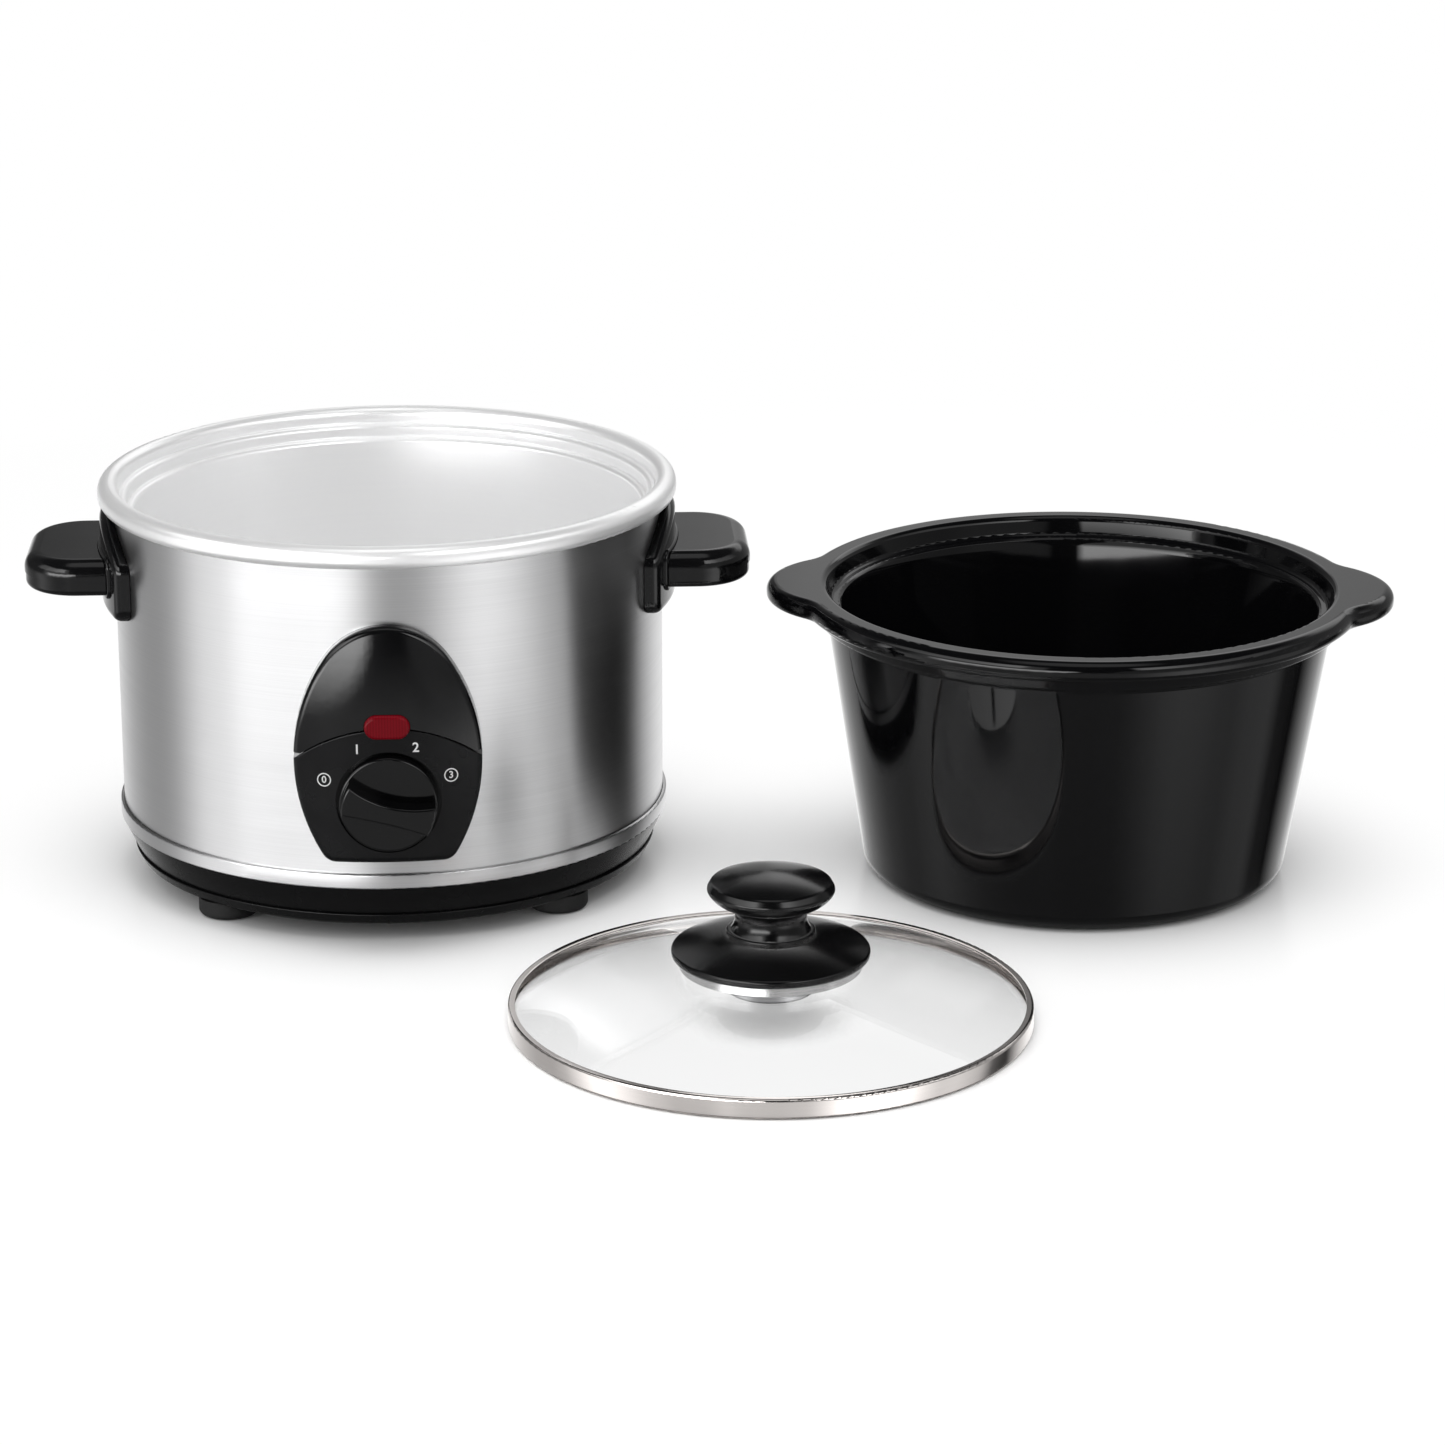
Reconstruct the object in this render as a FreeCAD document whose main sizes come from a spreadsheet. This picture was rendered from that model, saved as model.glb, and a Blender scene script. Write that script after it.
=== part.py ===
import FreeCAD, Part
import math
import os
import Sketcher
from FreeCAD import Placement, Rotation, Vector

# Driving dimensions, in millimetres and degrees. Heights start at the table.
# Radii of the base follow from the shell's, and those of the crock and lid from the well that holds them.
SIZES = {
    # Layout of the three groups on the table
    "crock_gap": 7.1,
    "crock_forward": 27.2,
    "crock_yaw": -6.0,
    "lid_gap": 5.2,
    "lid_bearing": 231.25,
    # Clearances
    "seat_gap": 0.2,
    "bore_gap": 0.06,
    "hole_gap": 0.2,
    "window_gap": 1.0,
    "heater_gap": 0.35,
    "crock_play": 0.2,
    "crock_float": 1.3,
    "lid_play": 2.0,
    # Base pan and feet
    "foot_height": 8.0,
    "foot_radius": 13.0,
    "foot_round": 2.5,
    "foot_inset": 19.0,
    "foot_screw_sink": 3.6,
    "pan_bottom_inset": 6.5,
    "pan_bottom_round": 2.5,
    "pan_ridge_inset": 3.8,
    "pan_ridge_rise": 5.3,
    "pan_ridge_depth": 1.2,
    "pan_ridge_round": 0.5,
    "pan_top_flare": 1.2,
    "pan_height": 18.6,
    "pan_wall": 2.5,
    "trim_height": 6.6,
    "trim_wall": 1.4,
    "trim_round": 0.8,
    # Outer shell
    "shell_radius": 120.0,
    "shell_wall": 0.8,
    "shell_top_gap": 2.2,
    # Heating well and its rim
    "rim_height": 177.3,
    "rim_overhang": 6.5,
    "rim_wall": 1.2,
    "rim_drop": 9.4,
    "rim_curl": 4.2,
    "rim_outer_round": 4.6,
    "rim_inner_round": 4.0,
    "rim_curl_round": 3.4,
    "step_inset": 2.4,
    "step_depth": 7.0,
    "ledge_inset": 6.0,
    "ledge_depth": 5.8,
    "step_round": 2.0,
    "throat_inset": 9.2,
    "well_floor_inset": 16.0,
    "well_floor_round": 10.0,
    # Heater, blanket and what hangs under the well
    "heater_rise": 13.0,
    "heater_width": 60.0,
    "heater_wall": 1.6,
    "band_sweep": 280.0,
    "shield_inset": 8.0,
    "shield_wall": 0.8,
    "shield_lip": 6.0,
    "tie_radius": 3.0,
    "tie_head_radius": 6.5,
    "tie_head_height": 4.0,
    "tie_head_round": 1.0,
    "nut_flat": 5.0,
    "nut_height": 5.0,
    "cutout_radius": 9.0,
    "cutout_can_radius": 7.2,
    "cutout_flange": 1.4,
    "cutout_height": 4.2,
    "cutout_offset": 32.0,
    "terminal_length": 36.0,
    "terminal_width": 16.0,
    "terminal_height": 12.0,
    "terminal_well_depth": 7.2,
    "terminal_inset": 50.0,
    "terminal_pitch": 11.0,
    # Mains inlet
    "inlet_rise": 10.2,
    "inlet_boss_width": 22.0,
    "inlet_boss_reach": 1.0,
    "bush_length": 16.0,
    "bush_radius": 5.5,
    "bush_flange_radius": 7.2,
    "bush_flange_wall": 2.0,
    "bush_bore_radius": 3.7,
    "bush_round": 0.9,
    # Handles
    "plate_thickness": 6.0,
    "plate_half_width": 47.0,
    "plate_drop": 12.3,
    "plate_height": 42.0,
    "plate_side": 25.0,
    "plate_corner": 7.0,
    "plate_edge_round": 4.0,
    "collar_height": 1.2,
    "collar_margin": 1.5,
    "collar_corner": 5.0,
    "collar_round": 0.8,
    "grip_length": 32.4,
    "grip_half_width": 38.0,
    "grip_rise": 10.0,
    "grip_thickness": 15.6,
    "grip_parting": 6.8,
    "grip_parting_step": 0.4,
    "grip_corner": 24.0,
    "grip_edge_round": 7.0,
    "grip_bottom_round": 3.0,
    "handle_screw_offset": 18.0,
    "handle_screw_bite": 10.0,
    # Control panel
    "panel_rise": 14.4,
    "panel_widest_rise": 44.2,
    "panel_height": 102.3,
    "panel_half_width": 39.5,
    "panel_top_round": 31.0,
    "panel_side_round": 80.0,
    "panel_corner": 7.0,
    "panel_thickness": 10.0,
    "panel_edge_round": 3.0,
    "cover_step": 1.2,
    "cover_lean": 6.0,
    "seam_rise": 59.8,
    "seam_round": 62.4,
    "seam_gap": 0.8,
    "seam_notch": 3.0,
    "seam_edge_round": 0.6,
    "panel_screw_side": 20.0,
    "panel_screw_low": 9.5,
    "panel_screw_high": 81.0,
    "panel_screw_bite": 5.5,
    # Indicator
    "lens_rise": 60.6,
    "lens_length": 19.2,
    "lens_width": 10.4,
    "lens_flange": 1.8,
    "lens_flange_wall": 1.5,
    "lens_seat_depth": 3.4,
    "lens_proud": 0.9,
    "lens_round": 1.5,
    "lamp_radius": 4.6,
    "lamp_length": 11.0,
    "lamp_base_radius": 3.7,
    "lamp_base_length": 4.4,
    "lamp_round": 2.8,
    # Knob and switch
    "knob_centre_rise": 27.3,
    "knob_radius": 20.65,
    "knob_recess_gap": 1.5,
    "knob_recess_depth": 4.0,
    "recess_wall": 3.0,
    "knob_rise": 0.4,
    "knob_proud": 3.6,
    "knob_edge_round": 1.0,
    "knob_bar_rise": 9.4,
    "knob_bar_half_width": 6.5,
    "knob_bar_pinch": 4.2,
    "knob_bar_lower_pinch": 0.8,
    "knob_rest_angle": -15.0,
    "shaft_radius": 3.0,
    "shaft_depth": 6.5,
    "switch_radius": 16.0,
    "switch_depth": 13.5,
    "switch_back_radius": 13.6,
    "switch_back_depth": 6.0,
    "switch_tail": 7.0,
    # Crock
    "flange_top": 130.0,
    "crock_taper": 17.9,
    "crock_foot_width": 13.2,
    "crock_recess": 1.5,
    "crock_bottom_round": 9.0,
    "crock_neck_drop": 7.0,
    "crock_lip_drop": 4.8,
    "crock_lip_width": 4.9,
    "crock_root_inset": 5.0,
    "flange_inset": 3.5,
    "flange_bottom": 121.0,
    "flange_width": 11.9,
    "flange_top_round": 4.5,
    "flange_bottom_round": 3.5,
    "lug_length": 14.5,
    "lug_round": 44.0,
    "lug_blend": 22.0,
    "crock_mouth_taper": 1.9,
    "crock_ledge_drop": 8.4,
    "crock_ledge_width": 4.4,
    "crock_ledge_fall": 1.4,
    "crock_inner_drop": 13.0,
    "crock_inner_taper": 19.4,
    "crock_floor": 9.0,
    "crock_floor_round": 15.0,
    "mouth_round": 3.2,
    "glaze_round": 1.8,
    # Lid
    "lid_rim_height": 8.4,
    "lid_rim_wall": 0.6,
    "lid_rim_lap": 3.0,
    "lid_rim_foot": 2.8,
    "lid_rim_round": 1.2,
    "glass_wall": 4.0,
    "glass_rise": 18.6,
    "lid_washer_radius": 18.2,
    "lid_washer_wall": 9.8,
    "lid_washer_round": 1.2,
    "seal_radius": 37.4,
    "seal_wall": 4.1,
    "skirt_radius": 40.5,
    "skirt_edge": 3.2,
    "skirt_edge_round": 1.4,
    "skirt_rise": 9.2,
    "skirt_crown": 88.0,
    "knob_collar_radius": 18.2,
    "knob_collar_height": 2.4,
    "knob_collar_round": 0.9,
    "neck_foot_radius": 16.4,
    "neck_radius": 16.0,
    "neck_height": 10.5,
    "neck_waist": 1.5,
    "lid_knob_radius": 26.3,
    "lid_knob_under": 6.4,
    "lid_knob_edge": 3.4,
    "lid_knob_crown": 4.0,
    "lid_knob_round": 2.2,
    "cap_foot_radius": 21.6,
    "cap_foot_rise": 1.4,
    "cap_side_bulge": 0.5,
    "cap_top_inset": 1.9,
    "lid_screw_radius": 2.5,
    "lid_screw_head_radius": 5.5,
    "lid_screw_head_height": 3.0,
    "lid_screw_reach": 12.0,
    # Screws
    "screw_radius": 1.6,
    "screw_head_radius": 3.4,
    "screw_head_height": 2.0,
    "screw_tail": 3.5,
}

doc = FreeCAD.newDocument("slow_cooker")
sheet = doc.addObject("Spreadsheet::Sheet", "sizes")


class Size:
    """A length or angle: its present number and the sheet formula that gives it."""

    def __init__(self, number, formula):
        self.number = number
        self.formula = formula

    def __add__(self, other):
        other = as_size(other)
        return Size(self.number + other.number, f"({self.formula} + {other.formula})")

    def __sub__(self, other):
        other = as_size(other)
        return Size(self.number - other.number, f"({self.formula} - {other.formula})")

    def __mul__(self, other):
        other = as_size(other)
        return Size(self.number * other.number, f"({self.formula} * {other.formula})")

    def __truediv__(self, other):
        other = as_size(other)
        return Size(self.number / other.number, f"({self.formula} / {other.formula})")

    def __neg__(self):
        return Size(-self.number, f"(0 - {self.formula})")


def as_size(value):
    return value if isinstance(value, Size) else Size(float(value), str(value))


def root(value):
    return Size(math.sqrt(value.number), f"sqrt({value.formula})")


def sine(angle):
    return Size(math.sin(math.radians(angle.number)), f"sin({angle.formula})")


def cosine(angle):
    return Size(math.cos(math.radians(angle.number)), f"cos({angle.formula})")


class Names:
    """The sheet's sizes, each under its own name."""


d = Names()
for row, (name, number) in enumerate(SIZES.items(), start=1):
    sheet.set(f"A{row}", name)
    sheet.set(f"B{row}", str(number))
    sheet.setAlias(f"B{row}", name)
    setattr(d, name, Size(number, f"sizes.{name}"))
doc.recompute()

ZERO = as_size(0)
DIAGONAL = as_size(45)
HEX_HALF_ANGLE = as_size(30)
NEAR = 0.02
BEYOND = 60.0


def chord_rise(radius, half_chord):
    """How far an arc of this radius stands over a chord of this half length."""
    return radius - root(radius * radius - half_chord * half_chord)


def arc_radius(half_chord, rise):
    return (half_chord * half_chord + rise * rise) / (rise * 2)


# Radii of the base, from the shell's
shell_inner = d.shell_radius - d.shell_wall
shell_seat = d.shell_radius + d.seat_gap
inside = shell_inner - BEYOND / 2
foot_circle = d.shell_radius - d.foot_inset
pan_bottom_radius = d.shell_radius - d.pan_bottom_inset
inlet_face = d.shell_radius + d.inlet_boss_reach
rim_radius = d.shell_radius + d.rim_overhang
step_radius = d.shell_radius - d.step_inset
ledge_radius = d.shell_radius - d.ledge_inset
throat_radius = d.shell_radius - d.throat_inset
well_floor_radius = d.shell_radius - d.well_floor_inset
plate_radius = d.shell_radius + d.plate_thickness
collar_radius = plate_radius + d.collar_height
grip_reach = plate_radius + d.grip_length
handle_screw_reach = plate_radius + d.handle_screw_bite
panel_radius = d.shell_radius + d.panel_thickness
cover_radius = panel_radius + d.cover_step
panel_screw_reach = d.shell_radius + d.panel_screw_bite
lens_seat = panel_radius - d.lens_seat_depth
recess_floor = panel_radius - d.knob_recess_depth
switch_seat = recess_floor - d.recess_wall
knob_back = recess_floor + d.knob_rise
knob_face = panel_radius + d.knob_proud

# Heights of the base
pan_top = d.foot_height + d.pan_height
pan_floor = d.foot_height + d.pan_wall
inlet_height = d.foot_height + d.inlet_rise
rim_bottom = d.rim_height - d.rim_drop
shell_top = d.rim_height - d.rim_wall - d.shell_top_gap
step_height = d.rim_height - d.step_depth
ledge_height = step_height - d.ledge_depth
well_floor = d.rim_height - d.flange_bottom - d.crock_float
well_under = well_floor - d.rim_wall
shield_height = well_under - d.nut_height - d.shield_wall
plate_crown = d.rim_height - d.plate_drop
plate_bottom = plate_crown - d.plate_height
plate_shoulder = plate_bottom + d.plate_side
grip_bottom = plate_bottom + d.grip_rise
grip_top = grip_bottom + d.grip_thickness
grip_middle = grip_bottom + d.grip_thickness / 2
panel_bottom = pan_top + d.panel_rise
panel_widest = panel_bottom + d.panel_widest_rise
panel_top = panel_bottom + d.panel_height
seam_crown = panel_bottom + d.seam_rise
lens_height = panel_bottom + d.lens_rise
knob_height = panel_bottom + d.knob_centre_rise

# Crock and lid, from the well and from each other
flange_radius = rim_radius - d.flange_inset
lug_reach = flange_radius + d.lug_length
lug_centre = lug_reach - d.lug_round
crock_mouth = flange_radius - d.flange_width
crock_ledge = crock_mouth - d.crock_mouth_taper
lid_radius = crock_ledge - d.lid_play

# Where the three groups stand: the set's box is centred on the origin
lug_extent = lug_centre * cosine(d.crock_yaw) + d.lug_round
crock_right = grip_reach + d.crock_gap + lug_extent
lid_distance = flange_radius + lid_radius + d.lid_gap
lid_right = crock_right + lid_distance * cosine(d.lid_bearing)
lid_back = lid_distance * sine(d.lid_bearing) - d.crock_forward
base_x = (grip_reach - crock_right - lug_extent) / 2
base_y = (lid_radius - lid_back - rim_radius) / 2

BASE = (base_x, base_y)
CROCK = (base_x + crock_right, base_y - d.crock_forward)
LID = (base_x + lid_right, base_y + lid_back)

TO_FRONT = Rotation(Vector(1, 0, 0), 90)
TO_BACK = Rotation(Vector(1, 0, 0), -90)
TO_REAR_MIDDLE = Rotation(Vector(0, 0, 1), 90)
TO_LEFT = Rotation(Vector(0, 0, 1), 180)
UPRIGHT = Rotation()

pieces = []


def bind(thing, path, value):
    thing.setExpression(path, as_size(value).formula)


def stand(thing, place, height=ZERO, rotation=UPRIGHT):
    """Put a finished piece at its place in the set."""
    thing.Placement = Placement(Vector(), rotation)
    bind(thing, "Placement.Base.x", place[0])
    bind(thing, "Placement.Base.y", place[1])
    bind(thing, "Placement.Base.z", height)
    pieces.append(thing)


def new_body(label):
    body = doc.addObject("PartDesign::Body", label)
    body.Label = label
    return body


def new_sketch(body, plane_role, offset=ZERO):
    """A sketch on one of the body's own origin planes, moved along the plane's normal."""
    sketch = body.newObject("Sketcher::SketchObject", "Outline")
    plane = next(item for item in body.Origin.OriginFeatures if item.Role == plane_role)
    sketch.AttachmentSupport = [(plane, "")]
    sketch.MapMode = "FlatFace"
    bind(sketch, "AttachmentOffset.Base.z", offset)
    return sketch


def fix(sketch, kind, geometry, point, value):
    index = sketch.addConstraint(Sketcher.Constraint(kind, -1, 1, geometry, point, value.number))
    bind(sketch, f"Constraints[{index}]", value)


def arc_between(start, end, radius, turn):
    """The short arc from start to end; turn is 1 when its centre lies to the left of the way."""
    along = end - start
    half = along.Length / 2
    left = Vector(-along.y, along.x, 0) / along.Length
    depth = math.sqrt(max(radius * radius - half * half, 0.0))
    centre = (start + end) / 2 + left * depth * turn
    first, last = (start, end) if turn > 0 else (end, start)
    angles = [math.atan2(point.y - centre.y, point.x - centre.x) for point in (first, last)]
    return Part.ArcOfCircle(Part.Circle(centre, Vector(0, 0, 1), radius), *angles)


def draw(sketch, corners, bends=None):
    """Close an outline through corners. bends gives a side's radius and turn where it is an arc.

    A half circle gives the place of its centre as well, which then stands in for its radius.
    """
    bends = bends or {}
    count = len(corners)
    points = [Vector(x.number, y.number, 0) for x, y in corners]
    sides = []
    for side in range(count):
        start = points[side]
        end = points[(side + 1) % count]
        if side in bends:
            radius, turn = bends[side][:2]
            index = sketch.addGeometry(arc_between(start, end, radius.number, turn), False)
            ends = (1, 2) if turn > 0 else (2, 1)
        else:
            index = sketch.addGeometry(Part.LineSegment(start, end), False)
            ends = (1, 2)
        sides.append((index, ends))
    for side in range(count):
        index, ends = sides[side]
        following, following_ends = sides[(side + 1) % count]
        sketch.addConstraint(Sketcher.Constraint("Coincident", index, ends[1], following, following_ends[0]))
    for (index, ends), (x, y) in zip(sides, corners):
        fix(sketch, "DistanceX", index, ends[0], x)
        fix(sketch, "DistanceY", index, ends[0], y)
    for side, (radius, turn, *centre) in bends.items():
        if centre:
            fix(sketch, "DistanceX", sides[side][0], 3, centre[0])
            continue
        index = sketch.addConstraint(Sketcher.Constraint("Radius", sides[side][0], radius.number))
        bind(sketch, f"Constraints[{index}]", radius)


def circle(sketch, x, y, radius):
    centre = Vector(x.number, y.number, 0)
    index = sketch.addGeometry(Part.Circle(centre, Vector(0, 0, 1), radius.number), False)
    fix(sketch, "DistanceX", index, 3, x)
    fix(sketch, "DistanceY", index, 3, y)
    constraint = sketch.addConstraint(Sketcher.Constraint("Radius", index, radius.number))
    bind(sketch, f"Constraints[{constraint}]", radius)


def box_corners(left, bottom, right, top):
    return [(left, bottom), (right, bottom), (right, top), (left, top)]


def rectangle(sketch, left, bottom, right, top):
    draw(sketch, box_corners(left, bottom, right, top))


def rounded_rectangle(sketch, left, bottom, right, top, radius):
    corners = [
        (left + radius, bottom),
        (right - radius, bottom),
        (right, bottom + radius),
        (right, top - radius),
        (right - radius, top),
        (left + radius, top),
        (left, top - radius),
        (left, bottom + radius),
    ]
    draw(sketch, corners, {side: (radius, 1) for side in range(1, len(corners), 2)})


def pill(sketch, x, y, length, width):
    """A slot-shaped outline lying along the sketch's x axis."""
    reach = (length - width) / 2
    half = width / 2
    corners = box_corners(x - reach, y - half, x + reach, y + half)
    draw(sketch, corners, {1: (half, 1, x + reach), 3: (half, 1, x - reach)})


def pad(body, sketch, length):
    feature = body.newObject("PartDesign::Pad", "Pad")
    feature.Profile = sketch
    bind(feature, "Length", length)
    doc.recompute()


def revolve(body, sketch, sweep=None):
    feature = body.newObject("PartDesign::Revolution", "Revolution")
    feature.Profile = sketch
    feature.ReferenceAxis = (sketch, ["V_Axis"])
    if sweep is None:
        feature.Angle = 360.0
    else:
        feature.Midplane = True
        bind(feature, "Angle", sweep)
    doc.recompute()


def check_cut(body, volume_before):
    if not body.Shape.Volume < volume_before - NEAR:
        raise RuntimeError(f"a cut in {body.Label} removed nothing")


def pocket(body, sketch, length, outward):
    """Cut along the sketch's normal when outward, or against it."""
    before = body.Shape.Volume
    feature = body.newObject("PartDesign::Pocket", "Pocket")
    feature.Profile = sketch
    feature.Reversed = outward
    bind(feature, "Length", length)
    doc.recompute()
    check_cut(body, before)


def groove(body, sketch):
    before = body.Shape.Volume
    feature = body.newObject("PartDesign::Groove", "Groove")
    feature.Profile = sketch
    feature.ReferenceAxis = (sketch, ["V_Axis"])
    feature.Angle = 360.0
    doc.recompute()
    check_cut(body, before)


def turn_away(body, inner, outer, bottom, top):
    """Cut away the ring between two radii about the body's upright axis."""
    sketch = new_sketch(body, "XZ_Plane")
    rectangle(sketch, inner, bottom, outer, top)
    groove(body, sketch)


def fillet(body, radius, wanted):
    """Round the edges of the body's latest feature that a test picks out."""
    base = body.Tip
    names = [f"Edge{index}" for index, edge in enumerate(base.Shape.Edges, start=1) if wanted(edge)]
    if not names:
        raise RuntimeError(f"no edge to round in {body.Label}")
    feature = body.newObject("PartDesign::Fillet", "Round")
    feature.Base = (base, names)
    bind(feature, "Radius", radius)
    doc.recompute()
    if "Invalid" in feature.State:
        raise RuntimeError(f"a round of {radius.number} does not fit in {body.Label}")


def samples(edge):
    first, last = edge.ParameterRange
    return [edge.valueAt(first + (last - first) * share) for share in (0.1, 0.5, 0.9)]


def from_axis(point):
    return math.hypot(point.x, point.y)


def on_circle(radius, height):
    """Pick edges at this distance from the upright axis and at this height."""
    def wanted(edge):
        return all(
            abs(from_axis(point) - radius.number) < NEAR and abs(point.z - height.number) < NEAR
            for point in samples(edge)
        )
    return wanted


def at_height(height, beyond=ZERO):
    """Pick level edges at this height, farther out than a radius."""
    def wanted(edge):
        return all(
            abs(point.z - height.number) < NEAR and from_axis(point) > beyond.number + NEAR
            for point in samples(edge)
        )
    return wanted


def on_barrel(radius, lean=None, middle=ZERO):
    """Pick edges on a cylinder about the upright axis, or on a barrel whose staves have the radius lean."""
    def wanted(edge):
        for point in samples(edge):
            fall = 0.0
            if lean:
                fall = lean.number - math.sqrt(lean.number ** 2 - (point.z - middle.number) ** 2)
            if abs(from_axis(point) - radius.number + fall) > NEAR:
                return False
        return True
    return wanted


def along(axis, *spots):
    """Pick straight edges along an axis that pass through one of the spots, given in the other two axes."""
    others = [item for item in "xyz" if item != axis]

    def wanted(edge):
        ends = samples(edge)
        if abs(getattr(ends[2], axis) - getattr(ends[0], axis)) < NEAR:
            return False
        for first, second in spots:
            gaps = [(getattr(p, others[0]) - first.number, getattr(p, others[1]) - second.number) for p in ends]
            if all(math.hypot(*gap) < NEAR for gap in gaps):
                return True
        return False
    return wanted


def lathe(label, corners, bends=None, sweep=None):
    """Turn a half section about the upright axis. A corner may give the radius that rounds it."""
    body = new_body(label)
    sketch = new_sketch(body, "XZ_Plane")
    draw(sketch, [corner[:2] for corner in corners], bends)
    revolve(body, sketch, sweep)
    for x, z, *rounds in corners:
        for radius in rounds:
            fillet(body, radius, on_circle(x, z))
    return body


def cylinder(radius, height, position, rotation):
    """A plain cylinder of the set, standing on position and turned from the upright."""
    piece = doc.addObject("Part::Cylinder", "Rod")
    piece.Placement = Placement(Vector(), rotation)
    bind(piece, "Radius", radius)
    bind(piece, "Height", height)
    for name, value in zip("xyz", position):
        bind(piece, f"Placement.Base.{name}", value)
    return piece


def group(label, members):
    """Like pieces in one node."""
    node = doc.addObject("Part::Compound", label)
    node.Label = label
    node.Links = members
    pieces.append(node)


def screws(label, seats, rotations, head_height, length, radius, head_radius):
    """Like screws in one node. A seat is the point under the head, in the set's frame."""
    fasteners = []
    for seat, rotation in zip(seats, rotations):
        axis = rotation.multVec(Vector(0, 0, 1))
        under = [value - head_height * round(step) for value, step in zip(seat, axis)]
        fastener = doc.addObject("Part::Fuse", "Screw")
        fastener.Base = cylinder(head_radius, head_height, under, rotation)
        fastener.Tool = cylinder(radius, length, seat, rotation)
        fasteners.append(fastener)
    group(label, fasteners)


def small_screws(label, seats, rotations, length):
    screws(label, seats, rotations, d.screw_head_height, length, d.screw_radius, d.screw_head_radius)


def screw_seat(offset):
    """How far out a screw's head sits on the shell's inner face, at this offset from the middle."""
    head_edge = offset + d.screw_head_radius
    return root(shell_inner * shell_inner - head_edge * head_edge) - d.seat_gap


def moved(place, x, y, z):
    return (place[0] + x, place[1] + y, as_size(z))


def well_outside(height):
    """Outer radius of the well's tapering wall at a height."""
    rise = (height - well_under) / (ledge_height - well_floor)
    return well_floor_radius + d.rim_wall + (throat_radius - well_floor_radius) * rise


def foot_spots():
    reach = foot_circle * cosine(DIAGONAL)
    return [(reach * x, reach * y) for x, y in ((-1, -1), (1, -1), (-1, 1), (1, 1))]


# Base pan: a shallow dish standing on a thicker ring, with a flat boss for the mains inlet
def make_base_pan():
    ring_radius = d.shell_radius - d.pan_ridge_inset
    ring_top = d.foot_height + d.pan_ridge_rise
    inner_bottom = pan_bottom_radius - d.pan_wall
    corners = [
        (ZERO, d.foot_height),
        (pan_bottom_radius, d.foot_height, d.pan_bottom_round),
        (ring_radius, ring_top, d.pan_ridge_round),
        (ring_radius - d.pan_ridge_depth, ring_top),
        (d.shell_radius + d.pan_top_flare, pan_top),
        (shell_inner - d.pan_wall, pan_top),
        (inner_bottom, pan_floor),
        (ZERO, pan_floor),
    ]
    body = lathe("base_pan", corners)
    half_boss = d.inlet_boss_width / 2
    boss = new_sketch(body, "XZ_Plane", -inlet_face)
    rectangle(boss, -half_boss, pan_floor - d.pan_wall / 2, half_boss, pan_top)
    pad(body, boss, inlet_face - inner_bottom + d.pan_wall)
    inlet = new_sketch(body, "XZ_Plane", -inlet_face)
    circle(inlet, ZERO, inlet_height, d.bush_radius + d.hole_gap)
    pocket(body, inlet, as_size(BEYOND), outward=True)
    holes = new_sketch(body, "XY_Plane")
    for x, y in foot_spots():
        circle(holes, x, y, d.screw_radius + d.hole_gap)
    circle(holes, ZERO, ZERO, d.tie_radius + d.hole_gap)
    pocket(body, holes, pan_floor + d.pan_wall, outward=True)
    stand(body, BASE)


def make_feet():
    names = ("front_left_foot", "front_right_foot", "rear_left_foot", "rear_right_foot")
    shank_hole = d.screw_radius + d.hole_gap
    head_hole = d.screw_head_radius + d.hole_gap
    corners = [
        (head_hole, ZERO),
        (d.foot_radius, ZERO, d.foot_round),
        (d.foot_radius, d.foot_height),
        (shank_hole, d.foot_height),
        (shank_hole, d.foot_screw_sink),
        (head_hole, d.foot_screw_sink),
    ]
    for name, (x, y) in zip(names, foot_spots()):
        stand(lathe(name, corners), (BASE[0] + x, BASE[1] + y))
    seats = [moved(BASE, x, y, d.foot_screw_sink) for x, y in foot_spots()]
    small_screws("foot_screws", seats, [UPRIGHT] * 4, pan_floor - d.foot_screw_sink + d.screw_tail)


def make_trim_ring():
    outer = shell_seat + d.trim_wall
    top = pan_top + d.trim_height
    corners = [
        (shell_seat, pan_top),
        (outer, pan_top, d.trim_round),
        (outer, top, d.trim_round),
        (shell_seat, top),
    ]
    stand(lathe("trim_ring", corners), BASE)


# Outer shell: a steel sleeve with windows behind the panel and holes for the screws
def make_outer_shell():
    body = lathe("outer_shell", box_corners(shell_inner, pan_top, d.shell_radius, shell_top))
    windows = new_sketch(body, "XZ_Plane", inside)
    circle(windows, ZERO, knob_height, d.switch_radius + d.window_gap)
    circle(windows, ZERO, lens_height, d.lamp_radius + d.window_gap)
    for x, z in panel_screw_spots():
        circle(windows, x, z, d.screw_radius + d.hole_gap)
    pocket(body, windows, as_size(BEYOND), outward=True)
    for outward in (True, False):
        cut_handle_screw_holes(body, d.shell_radius + BEYOND, outward)
    stand(body, BASE)


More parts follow.
